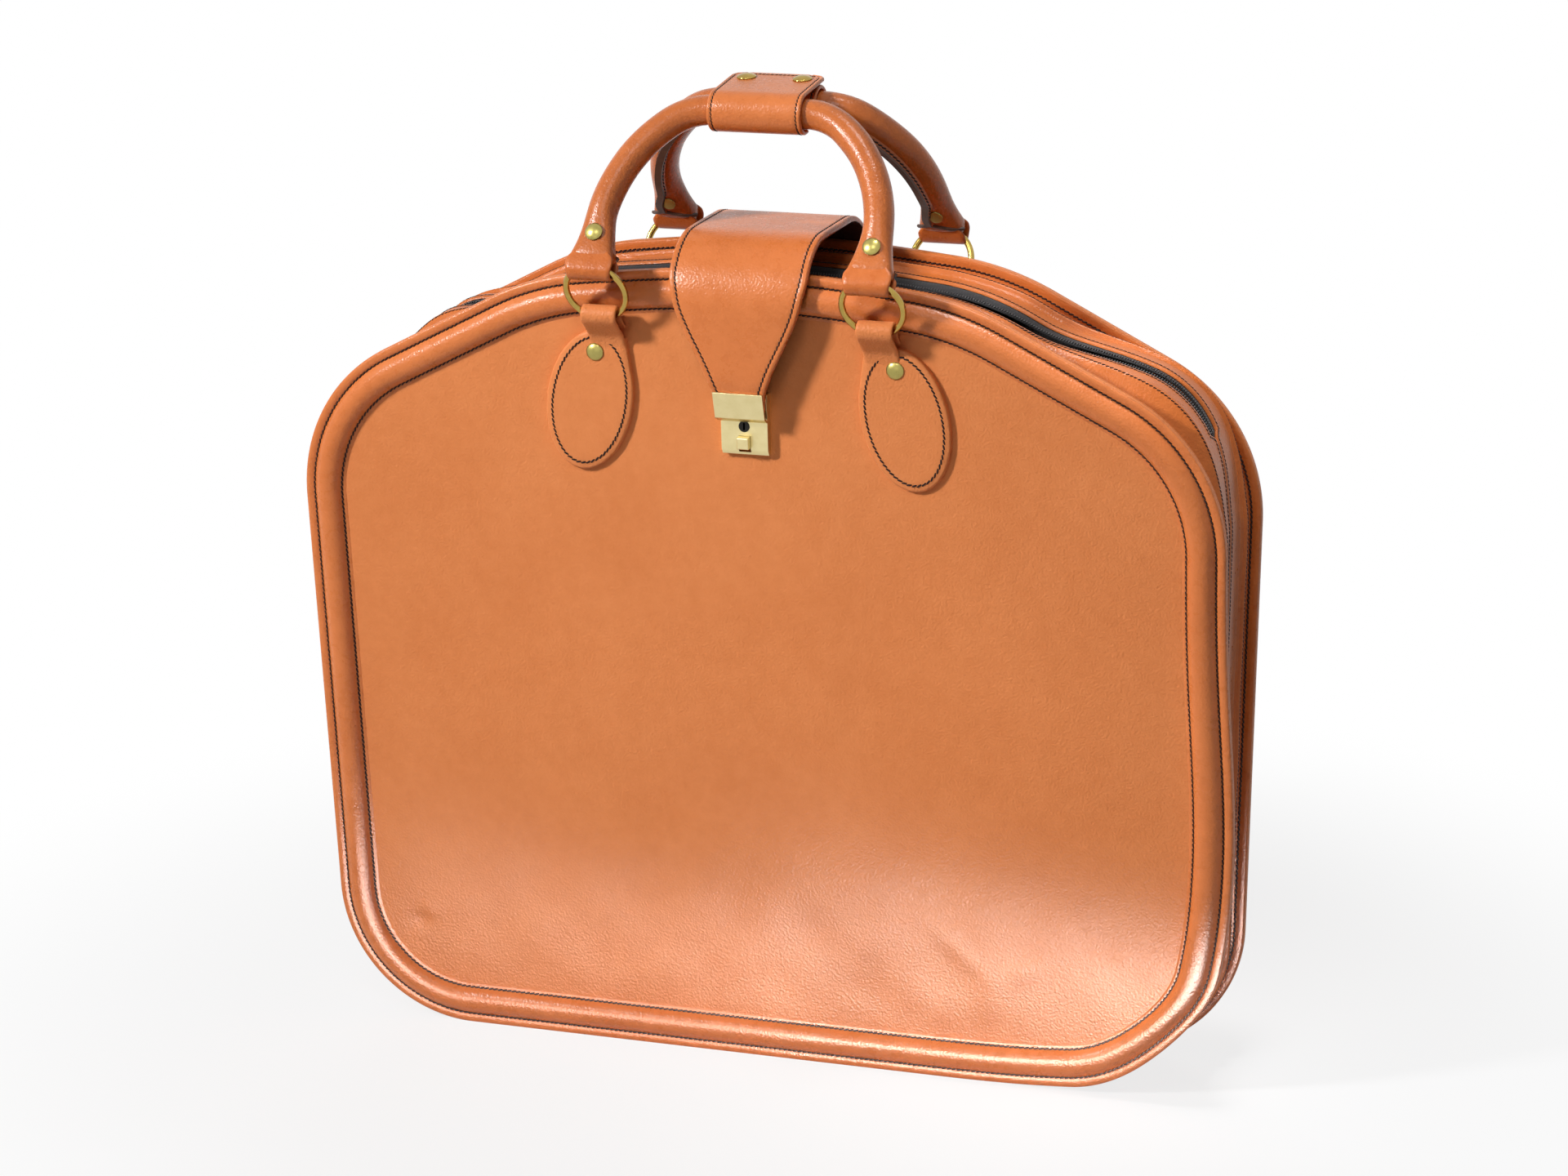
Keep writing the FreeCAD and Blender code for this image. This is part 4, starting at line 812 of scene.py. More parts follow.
def make_gusset(half, facing):
    """Pleated gusset: flange, one folded ridge and the zip strip."""
    rings = []
    flange = []
    pleat = []
    strip = []
    rearward = turned(Y_AXIS, facing)
    for place, outward in EDGE:
        end = strip_end(place)
        edge = [(GUSSET_STRIP + inset, end - short) for inset, short in STRIP_EDGE]
        rings.append([on_gusset(place, outward, inset, depth, facing)
                      for inset, depth in GUSSET_OUTSIDE + edge + GUSSET_INSIDE])
        out = turned(outward, facing)
        flange.append((on_gusset(place, outward, *FLANGE_STITCH, facing), rearward))
        pleat.append((on_gusset(place, outward, *PLEAT_STITCH, facing), out))
        inset, short = STRIP_STITCH
        strip.append((on_gusset(place, outward, GUSSET_STRIP + inset, end - short, facing), out))
    piece = joined(half + "_gusset_leather", [skin(rings, wrap=True)], GUSSET_HIDE)
    dress(piece, "tan_leather", "case", half + "_gusset")
    rows = [sewn(flange, closed=True)] + [sewn(row, closed=True, fine=True) for row in (pleat, strip)]
    dress(joined(half + "_gusset_stitching", rows, THREAD), "cord", "case")


def zip_edge(foot):
    """The part of the edge that the zip runs along, from its right end over the top to its left end."""
    lowest = min(range(len(EDGE)), key=lambda i: EDGE[i][0].z)
    in_order = EDGE[lowest:] + EDGE[:lowest]
    return [(place, outward) for place, outward in in_order if place.z > foot]


def make_zip(half, facing):
    """Tape behind the strip and a row of coil teeth along its free edge."""
    rings = []
    path = []
    for place, outward in zip_edge(TAPE_FOOT_Z):
        end = depth_at(place, zip_line(place))
        droop = zip_droop(place)
        rise = slack_rise(place, end, facing)
        near = strip_end(place) if place.z > ZIP_END_Z else end - ZIP_SHOWN
        outside = [(TAPE_INSET, near - TAPE_TUCK), (TAPE_INSET, near),
                   (TAPE_INSET + droop * TAPE_SAG, (near + end) / 2), (TAPE_INSET + droop, end)]
        inside = [(inset + TAPE_THICKNESS, depth) for inset, depth in reversed(outside)]
        rings.append([on_half(in_from(place, outward, inset - rise, depth), facing)
                      for inset, depth in outside + inside])
        if place.z > ZIP_END_Z:
            middle = in_from(place, outward, TOOTH_INSET + droop - rise, end - TOOTH_LENGTH / 2)
            path.append((on_half(middle, facing), turned(outward, facing)))
    tape = joined(half + "_zip_tape_cloth", [skin(rings)], ZIP_CLOTH)
    dress(tape, "zip_tape", "case", half + "_zip_tape")
    teeth = [(middle, along.cross(up).normalized(), up) for middle, along, up in spaced(path, TOOTH_PITCH)]
    coil = joined(half + "_zip_teeth", [beads(teeth, TOOTH_RADIUS, TOOTH_LENGTH)], ZIP_NYLON)
    dress(coil, "zip_coil", "case", half + "_zip_coil")


def make_lining(half, facing):
    """Cloth tray glued inside one half."""
    middle = Vector((0, 0, CASE_MIDDLE_Z))
    rings = []
    for place, outward in EDGE:
        wall = LINING_INSET + LINING_THICKNESS
        back = LINING_FRONT + LINING_THICKNESS
        ring = [middle + Y_AXIS * LINING_FRONT]
        for inset, depth in ((LINING_INSET, LINING_FRONT), (LINING_INSET, LINING_TOP), (wall, LINING_TOP),
                             (wall, back)):
            ring.append(in_from(place, outward, inset, depth))
        ring.append(middle + Y_AXIS * back)
        rings.append([on_half(p, facing) for p in ring])
    piece = joined(half + "_lining_cloth", [skin(rings, closed=False, wrap=True)], LINING_CLOTH)
    dress(piece, "lining", "case", half + "_lining")


# Strips of leather

def strip_section(half, thickness, groove=None):
    """Closed section of a strip as (across, up) points, pressed in under each row of stitches."""
    top = thickness / 2
    press = STITCH_PRESS
    if groove is None:
        groove = half / 3
        press = 0.0
    line = half - groove
    face = [(0.0, top), (half * 0.5, top), (line - 2.0, top), (line - 0.8, top - press / 3),
            (line, top - press), (line + 0.8, top - press / 3), (line + 1.6, top)]
    edge = [(half - 0.9, top - 0.05), (half - 0.25, top - 0.55), (half, top - 1.1)]
    under = [(half, 0.7 - top), (half - 0.5, 0.15 - top), (half - 1.2, -top), (half * 0.5, -top),
             (0.0, -top)]
    around = face + edge + under
    return around + [(-u, v) for u, v in reversed(around[1:-1])]


def swept_strip(path, across, halves, thickness, groove=None, wrap=False):
    """A strip along a path of (place, up) pairs, with a half width for each."""
    rings = []
    for (place, up), half in zip(path, halves):
        rings.append([place + across * u + up * v for u, v in strip_section(half, thickness, groove)])
    return skin(rings, wrap=wrap)


def with_ups(points):
    """Adds to points of a line in a plane across X the side that lies to its left."""
    found = []
    for i, p in enumerate(points):
        before = points[max(0, i - 1)]
        after = points[min(len(points) - 1, i + 1)]
        along = (after - before).normalized()
        found.append((p, X_AXIS.cross(along)))
    return found


def facing_out(path, inside):
    """Turns the up sides of a path away from a place inside its bend."""
    return [(p, -up if up.dot(p - inside) < 0 else up) for p, up in path]


def resampled(points, spacing):
    """A line through points, cut into even steps."""
    steps = []
    for a, b in zip(points, points[1:]):
        count = max(1, math.ceil((b - a).length / spacing))
        steps += [a.lerp(b, k / count) for k in range(count)]
    return steps + [points[-1]]


def eased(points, rounds):
    """Softens a line's corners, keeping its ends."""
    for _ in range(rounds):
        points = [points[0]] + [
            (a + b * 2 + c) / 4 for a, b, c in zip(points, points[1:], points[2:])
        ] + [points[-1]]
    return points


def arc(centre, radius, start, end, steps):
    """Places on a circle in the plane across X, by angle from +Y towards +Z."""
    found = []
    for k in range(steps + 1):
        angle = math.radians(start + (end - start) * k / steps)
        found.append(centre + Vector((0, math.cos(angle), math.sin(angle))) * radius)
    return found


def rounded_end(half, corner, from_end):
    """Half width of a strip whose end has rounded corners."""
    if from_end >= corner:
        return half
    return half - corner + math.sqrt(max(0.0, corner ** 2 - (corner - from_end) ** 2))


def along_edges(path, halves, inset, lift, across=X_AXIS):
    """The two lines of stitches along a strip, as (place, up) paths."""
    lines = []
    for side in (-1, 1):
        lines.append([(place + across * (side * (half - inset)) + up * lift, up)
                      for (place, up), half in zip(path, halves)])
    return lines


# Chapes

def taut_line(places):
    """The outermost of some upright places, in order round them."""
    in_order = sorted(places, key=lambda p: (p.x, p.z))
    found = []
    for run in (in_order, in_order[::-1]):
        half = []
        for p in run:
            while len(half) > 1 and (half[-1] - half[-2]).cross(p - half[-1]).y >= 0:
                half.pop()
            half.append(p)
        found += half[:-1]
    return found


def tab_oval(side, inset, y):
    """Places round a tab's oval, set in from its edge."""
    up = Vector((-side * math.sin(TAB_SPLAY), 0, math.cos(TAB_SPLAY)))
    right = Vector((math.cos(TAB_SPLAY), 0, side * math.sin(TAB_SPLAY)))
    centre = Vector((side * TAB_CENTRE[0], y, TAB_CENTRE[1]))
    found = []
    for degrees in range(0, 360, TAB_STEP):
        angle = math.radians(degrees)
        found.append(centre + up * ((TAB_HALF[0] - inset) * math.cos(angle))
                     + right * ((TAB_HALF[1] - inset) * math.sin(angle)))
    return found


def make_tab(side, facing):
    """Oval tab that spreads out of the neck."""
    centre = Vector((side * TAB_CENTRE[0], 0, TAB_CENTRE[1]))
    neck = [Vector((side * RING_X + turn * LOOP_WIDTH / 2, 0, NECK_FOOT_Z)) for turn in (-1, 1)]
    rim = taut_line(tab_oval(side, 0, 0) + neck)
    rim = resampled(rim + [rim[0]], TAB_SPACING)[:-1]
    rings = []
    for p in rim:
        inward = (centre - p).normalized()
        reach = (centre - p).length
        ring = [centre - Y_AXIS * TAB_THICKNESS]
        ring += [p + inward * inset - Y_AXIS * height
                 for inset, height in [(reach / 2, TAB_THICKNESS)] + TAB_EDGE]
        ring.append(centre)
        rings.append([on_half(q, facing) for q in ring])
    return skin(rings, closed=False, wrap=True)


def tab_stitches(side, facing):
    """Row of stitches round a tab's oval."""
    up = turned(-Y_AXIS, facing)
    path = [(on_half(place, facing), up) for place in tab_oval(side, TAB_STITCH, -TAB_THICKNESS)]
    return sewn(path, closed=True)


def make_neck(side, facing):
    """Strip that rises from the tab, goes round the ring and comes back down to the panel."""
    middle = Vector((side * RING_X, CHAPE_Y, CHAPE_Z))
    front = [Vector((middle.x, y, NECK_FOOT_Z + height)) for y, height in NECK_FRONT]
    back = [Vector((middle.x, y, NECK_FOOT_Z + height)) for y, height in NECK_BACK]
    loop = arc(middle, LOOP_MIDDLE, *NECK_TURN, LOOP_STEPS)
    points = eased(resampled(front + loop + back, 2.0), 2)
    path = [(on_half(place, facing), turned(up, facing)) for place, up in with_ups(points)]
    return swept_strip(path, X_AXIS * facing, [LOOP_WIDTH / 2] * len(path), LOOP_THICKNESS)


def make_chapes(half, facing):
    """The two chapes of one half, named left and right as the case's front is seen."""
    rows = []
    for side, seen in zip((-1, 1), ("left", "right")[::facing]):
        chape = "%s_%s_chape" % (half, seen)
        leather = joined(chape + "_leather", [make_tab(side, facing), make_neck(side, facing)], PANEL_HIDE)
        dress(leather, "tan_leather", "case", chape)
        rows.append(tab_stitches(side, facing))
    dress(joined(half + "_chape_stitching", rows, THREAD), "cord", "case")


# Handles

def handle_arch():
    """Line of the handle's roll from one leg to the other, with the side that faces outwards."""
    points = [(Vector((-RING_X, 0, z)), -X_AXIS) for z in LEG_HEIGHTS]
    side_centre = Vector((SIDE_RADIUS - RING_X, 0, LEG_TOP))
    top = math.hypot(GRIP_Y + PIVOT_Y, GRIP_Z - PIVOT_Z)
    top_centre = Vector((-GRIP_HALF, 0, top - TOP_RADIUS))
    for centre, radius, start, turn in ((side_centre, SIDE_RADIUS, 0.0, SIDE_TURN),
                                        (top_centre, TOP_RADIUS, SIDE_TURN, math.pi / 2 - SIDE_TURN)):
        steps = math.ceil(radius * turn / ROLL_SPACING)
        for k in range(steps + 1):
            angle = start + turn * k / steps
            outward = Vector((-math.cos(angle), 0, math.sin(angle)))
            points.append((centre + outward * radius, outward))
    points.append((Vector((0, 0, top)), Z_AXIS.copy()))
    mirrored = [(Vector((-p.x, 0, p.z)), Vector((-u.x, 0, u.z))) for p, u in reversed(points[:-1])]
    cleaned = [points[0]]
    for p, u in points[1:] + mirrored:
        if (p - cleaned[-1][0]).length > ROLL_LEAST_STEP:
            cleaned.append((p, u))
    return cleaned


def set_handle(place, facing):
    """Tips an upright handle in over the case."""
    reach_y = -GRIP_Y - PIVOT_Y
    reach_z = GRIP_Z - PIVOT_Z
    tip = math.atan2(reach_y, reach_z)
    y = place.y * math.cos(tip) + place.z * math.sin(tip) + PIVOT_Y
    z = place.z * math.cos(tip) - place.y * math.sin(tip) + PIVOT_Z
    return Vector((facing * place.x, facing * y, z))


def handle_way(direction, facing):
    """Tips an upright handle's direction."""
    return set_handle(direction, facing) - set_handle(Vector(), facing)


def flare(height):
    """How far a leg has spread at a height: 0 where the roll is round and 1 at its foot."""
    return min(1.0, max(0.0, (FLARE_START - height) / (FLARE_START - FLARE_FOOT))) ** FLARE_POWER


def leg_half(height):
    """Half thickness of the roll, which flattens towards its foot."""
    return GRIP_RADIUS + (FLAT_HALF - GRIP_RADIUS) * eased_share(height, FLAT_START, FLAT_END)


def foot_round(height, rounding):
    """How much a leg narrows at its rounded foot."""
    amount, start = rounding
    return amount * eased_share(height, start, FLARE_FOOT)


def make_roll(facing):
    """Leather rolled round its core, flattening and spreading at each leg."""
    rings = []
    for place, outward in handle_arch():
        spread = flare(place.z)
        wide = GRIP_RADIUS + (FLARE_HALF - GRIP_RADIUS) * spread - foot_round(place.z, FOOT_WIDE)
        thick = leg_half(place.z) - foot_round(place.z, FOOT_THICK)
        square = 1.0 - FLARE_SQUARE * spread
        ring = []
        for k in range(ROLL_SIDES):
            angle = 2 * math.pi * k / ROLL_SIDES
            u = math.copysign(abs(math.cos(angle)) ** square, math.cos(angle)) * wide
            v = math.copysign(abs(math.sin(angle)) ** square, math.sin(angle)) * thick
            wander = uneven(place + Vector((u, v, facing * 300)), ROLL_WANDER_SIZE, ROLL_WANDER)
            ring.append(set_handle(place + outward * (u + wander) + Y_AXIS * v, facing))
        rings.append(ring)
    return skin(rings)


def make_leg_loop(side, facing):
    """Fold of a handle's leg round its ring, narrowing as it goes up inside the roll."""
    x = side * RING_X
    down = [Vector((x, -y, z)) for y, z in LEG_FOLD]
    up = [Vector((x, y, z)) for y, z in reversed(LEG_FOLD)]
    round_ring = arc(Vector((x, 0, 0)), LOOP_MIDDLE, 180, 360, LOOP_STEPS)
    points = eased(resampled(down + round_ring + up, 1.2), 2)
    placed = []
    halves = []
    for p, out in facing_out(with_ups(points), Vector((x, 0, LEG_FOLD_Z))):
        placed.append((set_handle(p, facing), handle_way(out, facing)))
        halves.append(FLARE_HALF - LEG_FOLD_ROUND * eased_share(p.z, 2, -LOOP_MIDDLE)
                      - LEG_FOLD_NARROW * eased_share(p.z, *LEG_FOLD_INSIDE))
    return swept_strip(placed, X_AXIS * facing, halves, LOOP_THICKNESS)


def leaned(out, lean):
    """Way the sewn edges stand and the way across them, tipped towards a side."""
    stands = Y_AXIS * math.cos(lean) + out * math.sin(lean)
    across = out * math.cos(lean) - Y_AXIS * math.sin(lean)
    return stands, across


def fin_line(side, facing):
    """Foot of the sewn edges from the grip down one leg, as (place, way it stands, way across it)."""
    lean = FIN_TWIST - side * FIN_TURN_IN if facing < 0 else FRONT_FIN_TWIST * side
    found = []
    for place, outward in handle_arch():
        if place.z > LEG_TOP - 1 and place.x * side > GRIP_HALF + 3:
            stands, across = leaned(outward * side, lean)
            found.append((place + stands * (leg_half(place.z) - FIN_SINK), stands, across))
    if side < 0:
        found.reverse()
    stands, across = leaned(X_AXIS, lean / 2)
    found += [(Vector((side * RING_X + u, leg_half(z) - FIN_SINK, z)), stands, across) for u, z in FIN_FOOT]
    places = eased([place for place, _, _ in found], 2)
    return [(place, stands, across) for place, (_, stands, across) in zip(places, found)]


def both_sides(section):
    """A section with its mirror image after it."""
    return section + [(-u, v) for u, v in reversed(section)]


def make_fin(facing, side):
    """Sewn edges of the roll, standing on the face towards the other handle, and the paint on them."""
    line = fin_line(side, facing)
    leather = []
    paint = []
    for i, (place, stands, across) in enumerate(line):
        growth = FIN_GROWTH[0] + FIN_GROWTH[1] * i
        taper = FIN_TAPER[0] + FIN_TAPER[1] * (len(line) - 1 - i)
        top = FIN_SINK + FIN_HEIGHT * min(1.0, growth, taper)
        section = [(FIN_HALF + 0.8, -0.4), (FIN_HALF + 0.1, 1.2), (FIN_HALF, top - 0.4), (1.2, top)]
        rim = [(FIN_HALF + 0.15, top - 1.3), (FIN_HALF - 0.1, top + 0.15)]
        for rings, outline in ((leather, section), (paint, rim)):
            rings.append([set_handle(place + across * u + stands * v, facing)
                          for u, v in both_sides(outline)])
    return skin(leather), skin(paint)


def painted_line(points, facing):
    """Painted edge of leather that lies on the face of a leg."""
    points = eased(resampled(points, 1.6), 3)
    rings = []
    for i, place in enumerate(points):
        along = (points[min(i + 1, len(points) - 1)] - points[max(i - 1, 0)]).normalized()
        out = (Y_AXIS - along * along.y).normalized()
        across = along.cross(out)
        rings.append([set_handle(place + across * u + out * v, facing) for u, v in PAINT_SECTION])
    return skin(rings)


def make_leg_edges(facing, side):
    """Painted edges of the roll's leather where it parts below the sewn edges and crosses the leg."""
    found = []
    for branch in EDGE_BRANCHES:
        points = [Vector((side * RING_X + u, FLAT_HALF - fall, z)) for u, fall, z in branch]
        found.append(painted_line(points, facing))
    return found


def fin_stitches(facing, side):
    """Stitches through the sewn edges, seen on both faces."""
    off, height = FIN_STITCH
    rows = []
    for face in (-1, 1):
        path = []
        for place, stands, across in fin_line(side, facing)[3:-2]:
            seen = place + across * (face * (FIN_HALF + off)) + stands * height
            path.append((set_handle(seen, facing), handle_way(across * face, facing)))
        rows.append(sewn(path))
    return rows


def make_handle(half, facing):
    """One handle: roll, leg folds, painted edges and stitches."""
    leather = [make_roll(facing)]
    loops = []
    paint = []
    rows = []
    for side in (-1, 1):
        fin, edge = make_fin(facing, side)
        leather.append(fin)
        loops.append(make_leg_loop(side, facing))
        paint += [edge] + make_leg_edges(facing, side)
        rows += fin_stitches(facing, side)
    body = half + "_handle"
    roll = joined(half + "_handle_leather", leather, HANDLE_HIDE)
    dress(roll, "tan_leather", body, half + "_handle", half + "_handle_core")
    dress(joined(half + "_handle_leg_folds", loops, RUBBED_HIDE), "tan_leather", body)
    dress(joined(half + "_handle_edge_paint", paint, EDGE_PAINT), "tan_leather", body)
    dress(joined(half + "_handle_stitching", rows, THREAD), "cord", body)


# Snap wrap

def make_wrap():
    """Leather that hugs the front grip and reaches over to snap on the rear one."""
    centre = Vector((0, -GRIP_Y, GRIP_Z))
    points = arc(centre, WRAP_INNER + WRAP_THICKNESS / 2, WRAP_START, WRAP_FOLD, WRAP_STEPS)
    halves = [GRIP_HALF] * len(points)
    edge = points[-1]
    rise = math.radians(WRAP_FOLD - 90)
    for k in range(1, FLAP_STEPS + 1):
        along = FLAP_LENGTH * k / FLAP_STEPS
        droop = FLAP_DROOP * max(0.0, along - FLAP_FLAT) ** 2
        points.append(edge + Vector((0, math.cos(rise) * along, math.sin(rise) * along - droop)))
        halves.append(rounded_end(GRIP_HALF, FLAP_CORNER, FLAP_LENGTH - along))
    path = with_ups(points)
    strip = swept_strip(path, X_AXIS, halves, WRAP_THICKNESS, WRAP_STITCH)
    leather = joined("snap_wrap_leather", [strip], TRIM_HIDE)
    bodies = ("front_handle", "wrap_flap")
    bend_between(leather, "tan_leather", bodies, *WRAP_BEND, "wrap_cover", "wrap_flap")
    lift = WRAP_THICKNESS / 2 - FINE_SINK
    rows = [sewn(line, fine=True) for line in along_edges(path[1:-3], halves[1:-3], WRAP_STITCH, lift)]
    place, up = path[-3]
    end = [(place + X_AXIS * x + up * (WRAP_THICKNESS / 2), up)
           for x in range(-FLAP_SEWN_HALF, FLAP_SEWN_HALF + 1, 4)]
    rows.append(sewn(end, fine=True))
    bend_between(joined("snap_wrap_stitching", rows, THREAD), "cord", bodies, *WRAP_BEND)


def make_sleeve():
    """Loop of leather on the rear grip that carries the snap studs."""
    centre = Vector((0, GRIP_Y, GRIP_Z))
    points = arc(centre, WRAP_INNER + WRAP_THICKNESS / 2, 0, 360, 48)[:-1]
    path = [(p, (p - centre).normalized()) for p in points]
    halves = [GRIP_HALF] * len(path)
    strip = swept_strip(path, X_AXIS, halves, WRAP_THICKNESS, WRAP_STITCH, wrap=True)
    leather = joined("rear_sleeve_leather", [strip], TRIM_HIDE)
    dress(leather, "tan_leather", "rear_handle", "rear_sleeve")
    lift = WRAP_THICKNESS / 2 - FINE_SINK
    rows = [sewn(line, closed=True, fine=True) for line in along_edges(path, halves, WRAP_STITCH, lift)]
    dress(joined("rear_sleeve_stitching", rows, THREAD), "cord", "rear_handle")


# Strap

def panel_y(z):
    """Distance of the rear panel's face from the middle plane."""
    return HALF_DEPTH + z * math.tan(LEAN)


def tongue_half(z):
    """Half width of the strap's front at a height, eased between its measured widths."""
    for (z0, w0), (z1, w1) in zip(TONGUE_WIDTHS, TONGUE_WIDTHS[1:]):
        if z >= z1:
            share = min(1.0, max(0.0, (z0 - z) / (z0 - z1)))
            return w0 + (w1 - w0) * share
    return TONGUE_WIDTHS[-1][1]


def rear_strap_line():
    """Middle of the strap from its sewn end on the rear panel to the top."""
    lift = STRAP_THICKNESS / 2
    points = [Vector((0, panel_y(z) + lift, z)) for z in ANCHOR_HEIGHTS]
    points.append(Vector((0, panel_y(PEEL_FACE_Z) + lift + PEEL_OFF, PEEL_Z)))
    points.append(Vector((0, STRAP_Y, PEEL_END_Z)))
    points += arc(Vector((0, STRAP_Y - STRAP_BEND, STRAP_FOLD_Z)), STRAP_BEND, 0, 90, 16)
    points.append(Vector((0, 0, STRAP_FOLD_Z + STRAP_BEND)))
    return eased(resampled(points, STRAP_SPACING), 4)


def front_strap_line():
    """Middle of the strap from the top down to the tongue's end."""
    points = [Vector((0, 0, STRAP_FOLD_Z + STRAP_BEND))]
    points += arc(Vector((0, STRAP_BEND - STRAP_Y, STRAP_FOLD_Z)), STRAP_BEND, 90, 180, 16)
    bend = Vector((0, -STRAP_Y, TONGUE_BEND_Z))
    points += [bend, bend + Vector((0, math.sin(TONGUE_BEND), -math.cos(TONGUE_BEND))) * TONGUE_REACH]
    return eased(resampled(points, STRAP_SPACING), 3)


def make_strap_length(name, points, halves, bodies, fold, sewn_part, *nodes):
    """One length of the strap, which bends at one fold, with its rows of stitches."""
    path = facing_out(with_ups(points), STRAP_INSIDE)
    strip = swept_strip(path, X_AXIS, halves, STRAP_THICKNESS, STRAP_STITCH)
    leather = joined(name + "_leather", [strip], TRIM_HIDE)
    line_back_with_painted_shade(leather)
    bend_between(leather, "tan_leather", bodies, *fold, *nodes)
    lift = STRAP_THICKNESS / 2 - STITCH_SINK
    rows = [sewn(line) for line in along_edges(path[sewn_part], halves[sewn_part], STRAP_STITCH, lift)]
    bend_between(joined(name + "_stitching", rows, THREAD), "cord", bodies, *fold)


def make_strap():
    """Strap over the top in two lengths that meet unseen at the middle."""
    rear = rear_strap_line()
    halves = [rounded_end(STRAP_HALF, ANCHOR_CORNER, p.z - ANCHOR_END_Z) for p in rear]
    fold = [Vector((0, STRAP_Y, z)) for z in REAR_BEND]
    make_strap_length("strap_rear", rear, halves, ("case", "strap"), fold, slice(2, None), "strap_anchor")
    front = front_strap_line()
    halves = eased([tongue_half(p.z) for p in front], 4)
    fold = [Vector((0, -STRAP_Y, z)) for z in FRONT_BEND]
    make_strap_length("strap_front", front, halves, ("strap", "tongue"), fold, slice(-1), "strap", "tongue")


def line_back_with_painted_shade(piece):
    """Gives the strap's underside dark suede, whose dark tone also paints the shade in the gap under the
    strap.
    """
    inside = STRAP_INSIDE * MM
    piece.data.materials.append(DARK_SUEDE_WITH_PAINTED_SHADE)
    for face in piece.data.polygons:
        if face.normal.dot(face.center - inside) < 0:
            face.material_index = 1


# Metal

def make_metal(node, material, bevel=0):
    """A metal piece with its edges broken as tumbling leaves them."""
    source = frame["nodes"][node]
    body = source["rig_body"]
    made = bmesh.new()
    made.from_mesh(source.data)
    bmesh.ops.remove_doubles(made, verts=made.verts, dist=0.004 * MM)
    if bevel:
        flat = math.radians(1)
        bmesh.ops.dissolve_limit(made, angle_limit=flat, verts=made.verts, edges=made.edges)
        keen = [e for e in made.edges if len(e.link_faces) == 2 and e.calc_face_angle() > math.radians(30)]
        bmesh.ops.bevel(made, geom=keen, offset=bevel * MM, segments=2, profile=0.6, affect="EDGES",
                        clamp_overlap=True)
    bmesh.ops.recalc_face_normals(made, faces=made.faces)
    piece = joined(node + "_brass", [made], material, sharp=35)
    even = piece.modifiers.new("even_shading", "WEIGHTED_NORMAL")
    even.keep_sharp = True
    dress(piece, "brass", body, node)


def make_metalwork():
    """Rings, rivets, snaps, hasp, lock and zip slider."""
    for half, _ in HALVES:
        for word in ("left", "right"):
            make_metal("%s_%s_ring" % (half, word), POLISHED_BRASS)
        make_metal(half + "_chape_rivets", AGED_BRASS)
        make_metal(half + "_handle_rivets", AGED_BRASS)
    for node in ("snap_caps", "anchor_rivets", "snap_studs"):
        make_metal(node, POLISHED_BRASS)
    for node in ("hasp_plate", "hasp_back", "lock_case", "lock_button"):
        make_metal(node, SATIN_BRASS, PLATE_BEVEL)
    make_metal("key_plug", BLACKED_STEEL, SMALL_BEVEL)
    for node in ("zip_slider", "zip_pull"):
        make_metal(node, POLISHED_BRASS, SMALL_BEVEL)


def finish_hidden():
    """Finishes for the solids that stay as they were packed, inside the case."""
    boards = ("front_board", "rear_board")
    fittings = ("hasp_pins", "latch_bolt", "lock_screws", "lock_back_plate")
    for nodes, material in ((boards, BOARD), (fittings, SATIN_BRASS)):
        for node in nodes:
            mesh = frame["nodes"][node].data
            mesh.materials.clear()
            mesh.materials.append(material)


# Stage

def seen_rays(holder):
    """1 for rays that show a thing to the eye or in a reflection, and 0 for rays that only light."""
    ray = add_node(holder, "LightPath")
    seen = add_node(holder, "Math", {0: ray.outputs["Is Camera Ray"], 1: ray.outputs["Is Glossy Ray"]},
                    operation="MAXIMUM")
    seen = add_node(holder, "Math", {0: seen.outputs[0], 1: ray.outputs["Is Transmission Ray"]},
                    operation="MAXIMUM")
    return seen.outputs[0]


def make_floor():
    """Pale matte table that fades to white away from the case."""
    mesh = bpy.data.meshes.new("floor")
    reach = 6.0
    corners = [(-reach, -reach, 0), (reach, -reach, 0), (reach, reach, 0), (-reach, reach, 0)]
    mesh.from_pydata(corners, [], [(0, 1, 2, 3)])
    floor = bpy.data.objects.new("floor", mesh)
    bpy.context.scene.collection.objects.link(floor)
    material, shader, where = new_finish("white_table")
    fill(material, shader, {"Base Color": to_linear("#DCDCDC"), "Roughness": 1.0, "Specular IOR Level": 0.0})
    distance = add_node(material, "VectorMath", {0: where}, operation="LENGTH")
    fade = add_node(material, "MapRange", {"Value": distance.outputs["Value"], "From Min": 0.3,
                                           "From Max": 0.75, "To Min": 0.8, "To Max": 1.0},
                    interpolation_type="SMOOTHSTEP")
    share = add_node(material, "Math", {0: fade.outputs[0], 1: seen_rays(material)}, operation="MULTIPLY")
    white = add_node(material, "Emission", {"Color": (1, 1, 1, 1), "Strength": 1.0})
    mix = add_node(material, "MixShader", {0: share.outputs[0], 1: shader.outputs[0], 2: white.outputs[0]})
    fill(material, material.node_tree.nodes["Material Output"], {"Surface": mix.outputs[0]})
    mesh.materials.append(material)


def make_world():
    """White to the eye and in reflections; a soft grey as a source of light."""
    world = bpy.data.worlds.new("studio")
    bpy.context.scene.world = world
    world.use_nodes = True
    level = add_node(world, "MapRange", {"Value": seen_rays(world), "To Min": 0.06, "To Max": 1.0})
    fill(world, world.node_tree.nodes["Background"], {"Color": (1, 1, 1, 1), "Strength": level.outputs[0]})


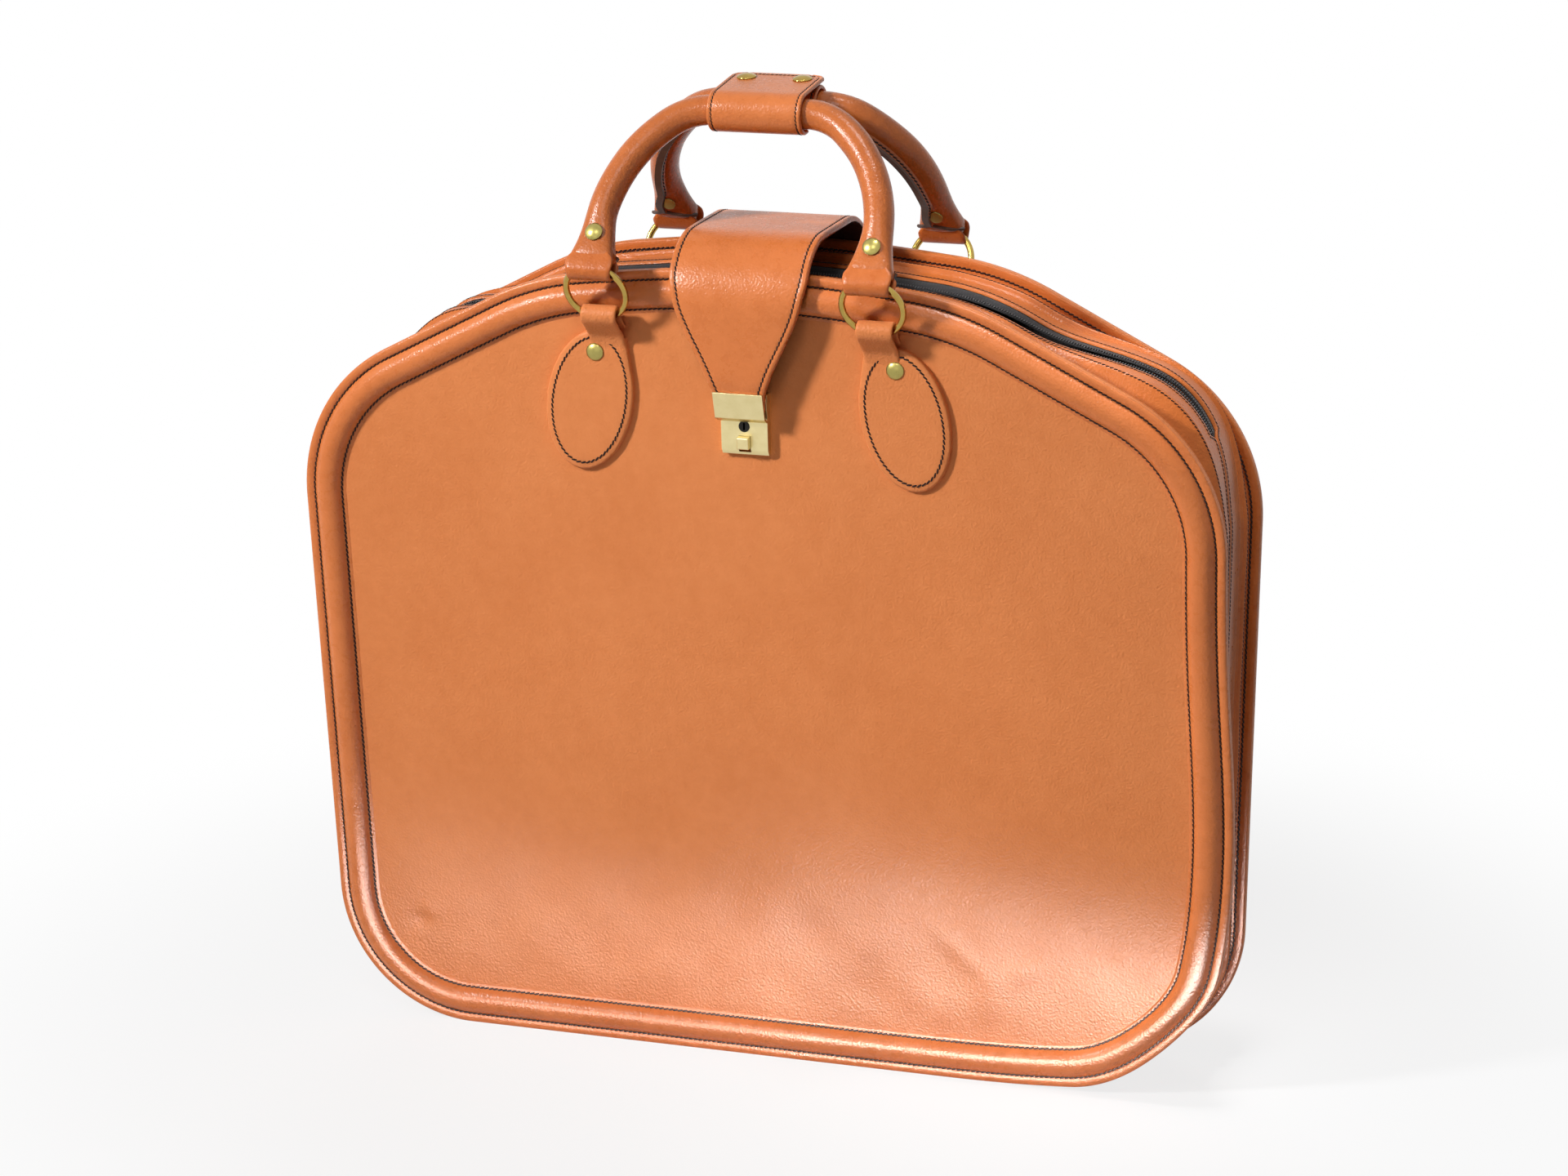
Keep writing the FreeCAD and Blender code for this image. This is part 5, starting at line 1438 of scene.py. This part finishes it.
def add_lamp(name, place, aim, size, power):
    """A lamp with a rectangular face; places and sizes are in metres."""
    lamp = bpy.data.lights.new(name, "AREA")
    lamp.shape = "RECTANGLE"
    lamp.size, lamp.size_y = size
    lamp.energy = power
    made = bpy.data.objects.new(name, lamp)
    made.location = place
    made.rotation_euler = (Vector(aim) - Vector(place)).to_track_quat("-Z", "Y").to_euler()
    made.visible_camera = False
    bpy.context.scene.collection.objects.link(made)
    return made


def make_lights():
    """A gridded key from the upper left, weak fills, and low cards that shine in the panel's foot."""
    key = add_lamp("key", (-1.75, -1.75, 1.9), (0.08, 0, 0.44), (0.36, 0.36), 9.3)
    key.data.spread = math.radians(60)
    add_lamp("fill", (0.2, -3.0, 0.9), (0, 0, 0.25), (1.6, 1.2), 3)
    add_lamp("top_fill", (0.2, -1.7, 2.2), (0, 0, 0.35), (0.6, 0.6), 9)
    back_fill = add_lamp("back_fill", (-0.9, 2.6, 1.2), (0, 0, 0.25), (1.6, 1.2), 30)
    back_fill.visible_glossy = False
    shoulder = add_lamp("shoulder_fill", (0.3, -0.1, 1.9), (0.24, -0.02, 0.42), (0.2, 0.2), 0.28)
    shoulder.data.spread = math.radians(20)
    for name, across, width, power in [("low_card", 0.18, 0.4, 2.0), ("left_card", -0.14, 0.34, 0.8)]:
        card = add_lamp(name, (across, -0.15, 0.035), (across - 0.03, -0.03, 0.04), (width, 0.06), power)
        card.data.spread = math.radians(110)
        card.visible_diffuse = False


def make_camera():
    """Camera at the photograph's angle; distances are in millimetres."""
    back = Vector((math.sin(CAMERA_AZIMUTH) * math.cos(CAMERA_ELEVATION),
                   -math.cos(CAMERA_AZIMUTH) * math.cos(CAMERA_ELEVATION), math.sin(CAMERA_ELEVATION)))
    right = Vector((math.cos(CAMERA_AZIMUTH), math.sin(CAMERA_AZIMUTH), 0))
    up = back.cross(right)
    roll = Matrix.Rotation(CAMERA_ROLL, 3, back)
    right = roll @ right
    up = roll @ up
    aim = Z_AXIS * CASE_MIDDLE_Z + right * CAMERA_AIM_RIGHT + up * CAMERA_AIM_UP
    data = bpy.data.cameras.new("camera")
    data.lens = LENS
    camera = bpy.data.objects.new("camera", data)
    turn = Matrix((right, up, back)).transposed().to_4x4()
    camera.matrix_world = Matrix.Translation((aim + back * CAMERA_DISTANCE) * MM) @ turn
    bpy.context.scene.collection.objects.link(camera)
    bpy.context.scene.camera = camera


for half, facing in HALVES:
    make_panel(half, facing)
    make_border(half, facing)
    make_gusset(half, facing)
    make_zip(half, facing)
    make_lining(half, facing)
    make_chapes(half, facing)
    make_handle(half, facing)
make_wrap()
make_sleeve()
make_strap()
make_metalwork()
finish_hidden()
make_floor()
make_world()
make_lights()
make_camera()
bpy.context.scene.view_settings.view_transform = "Standard"
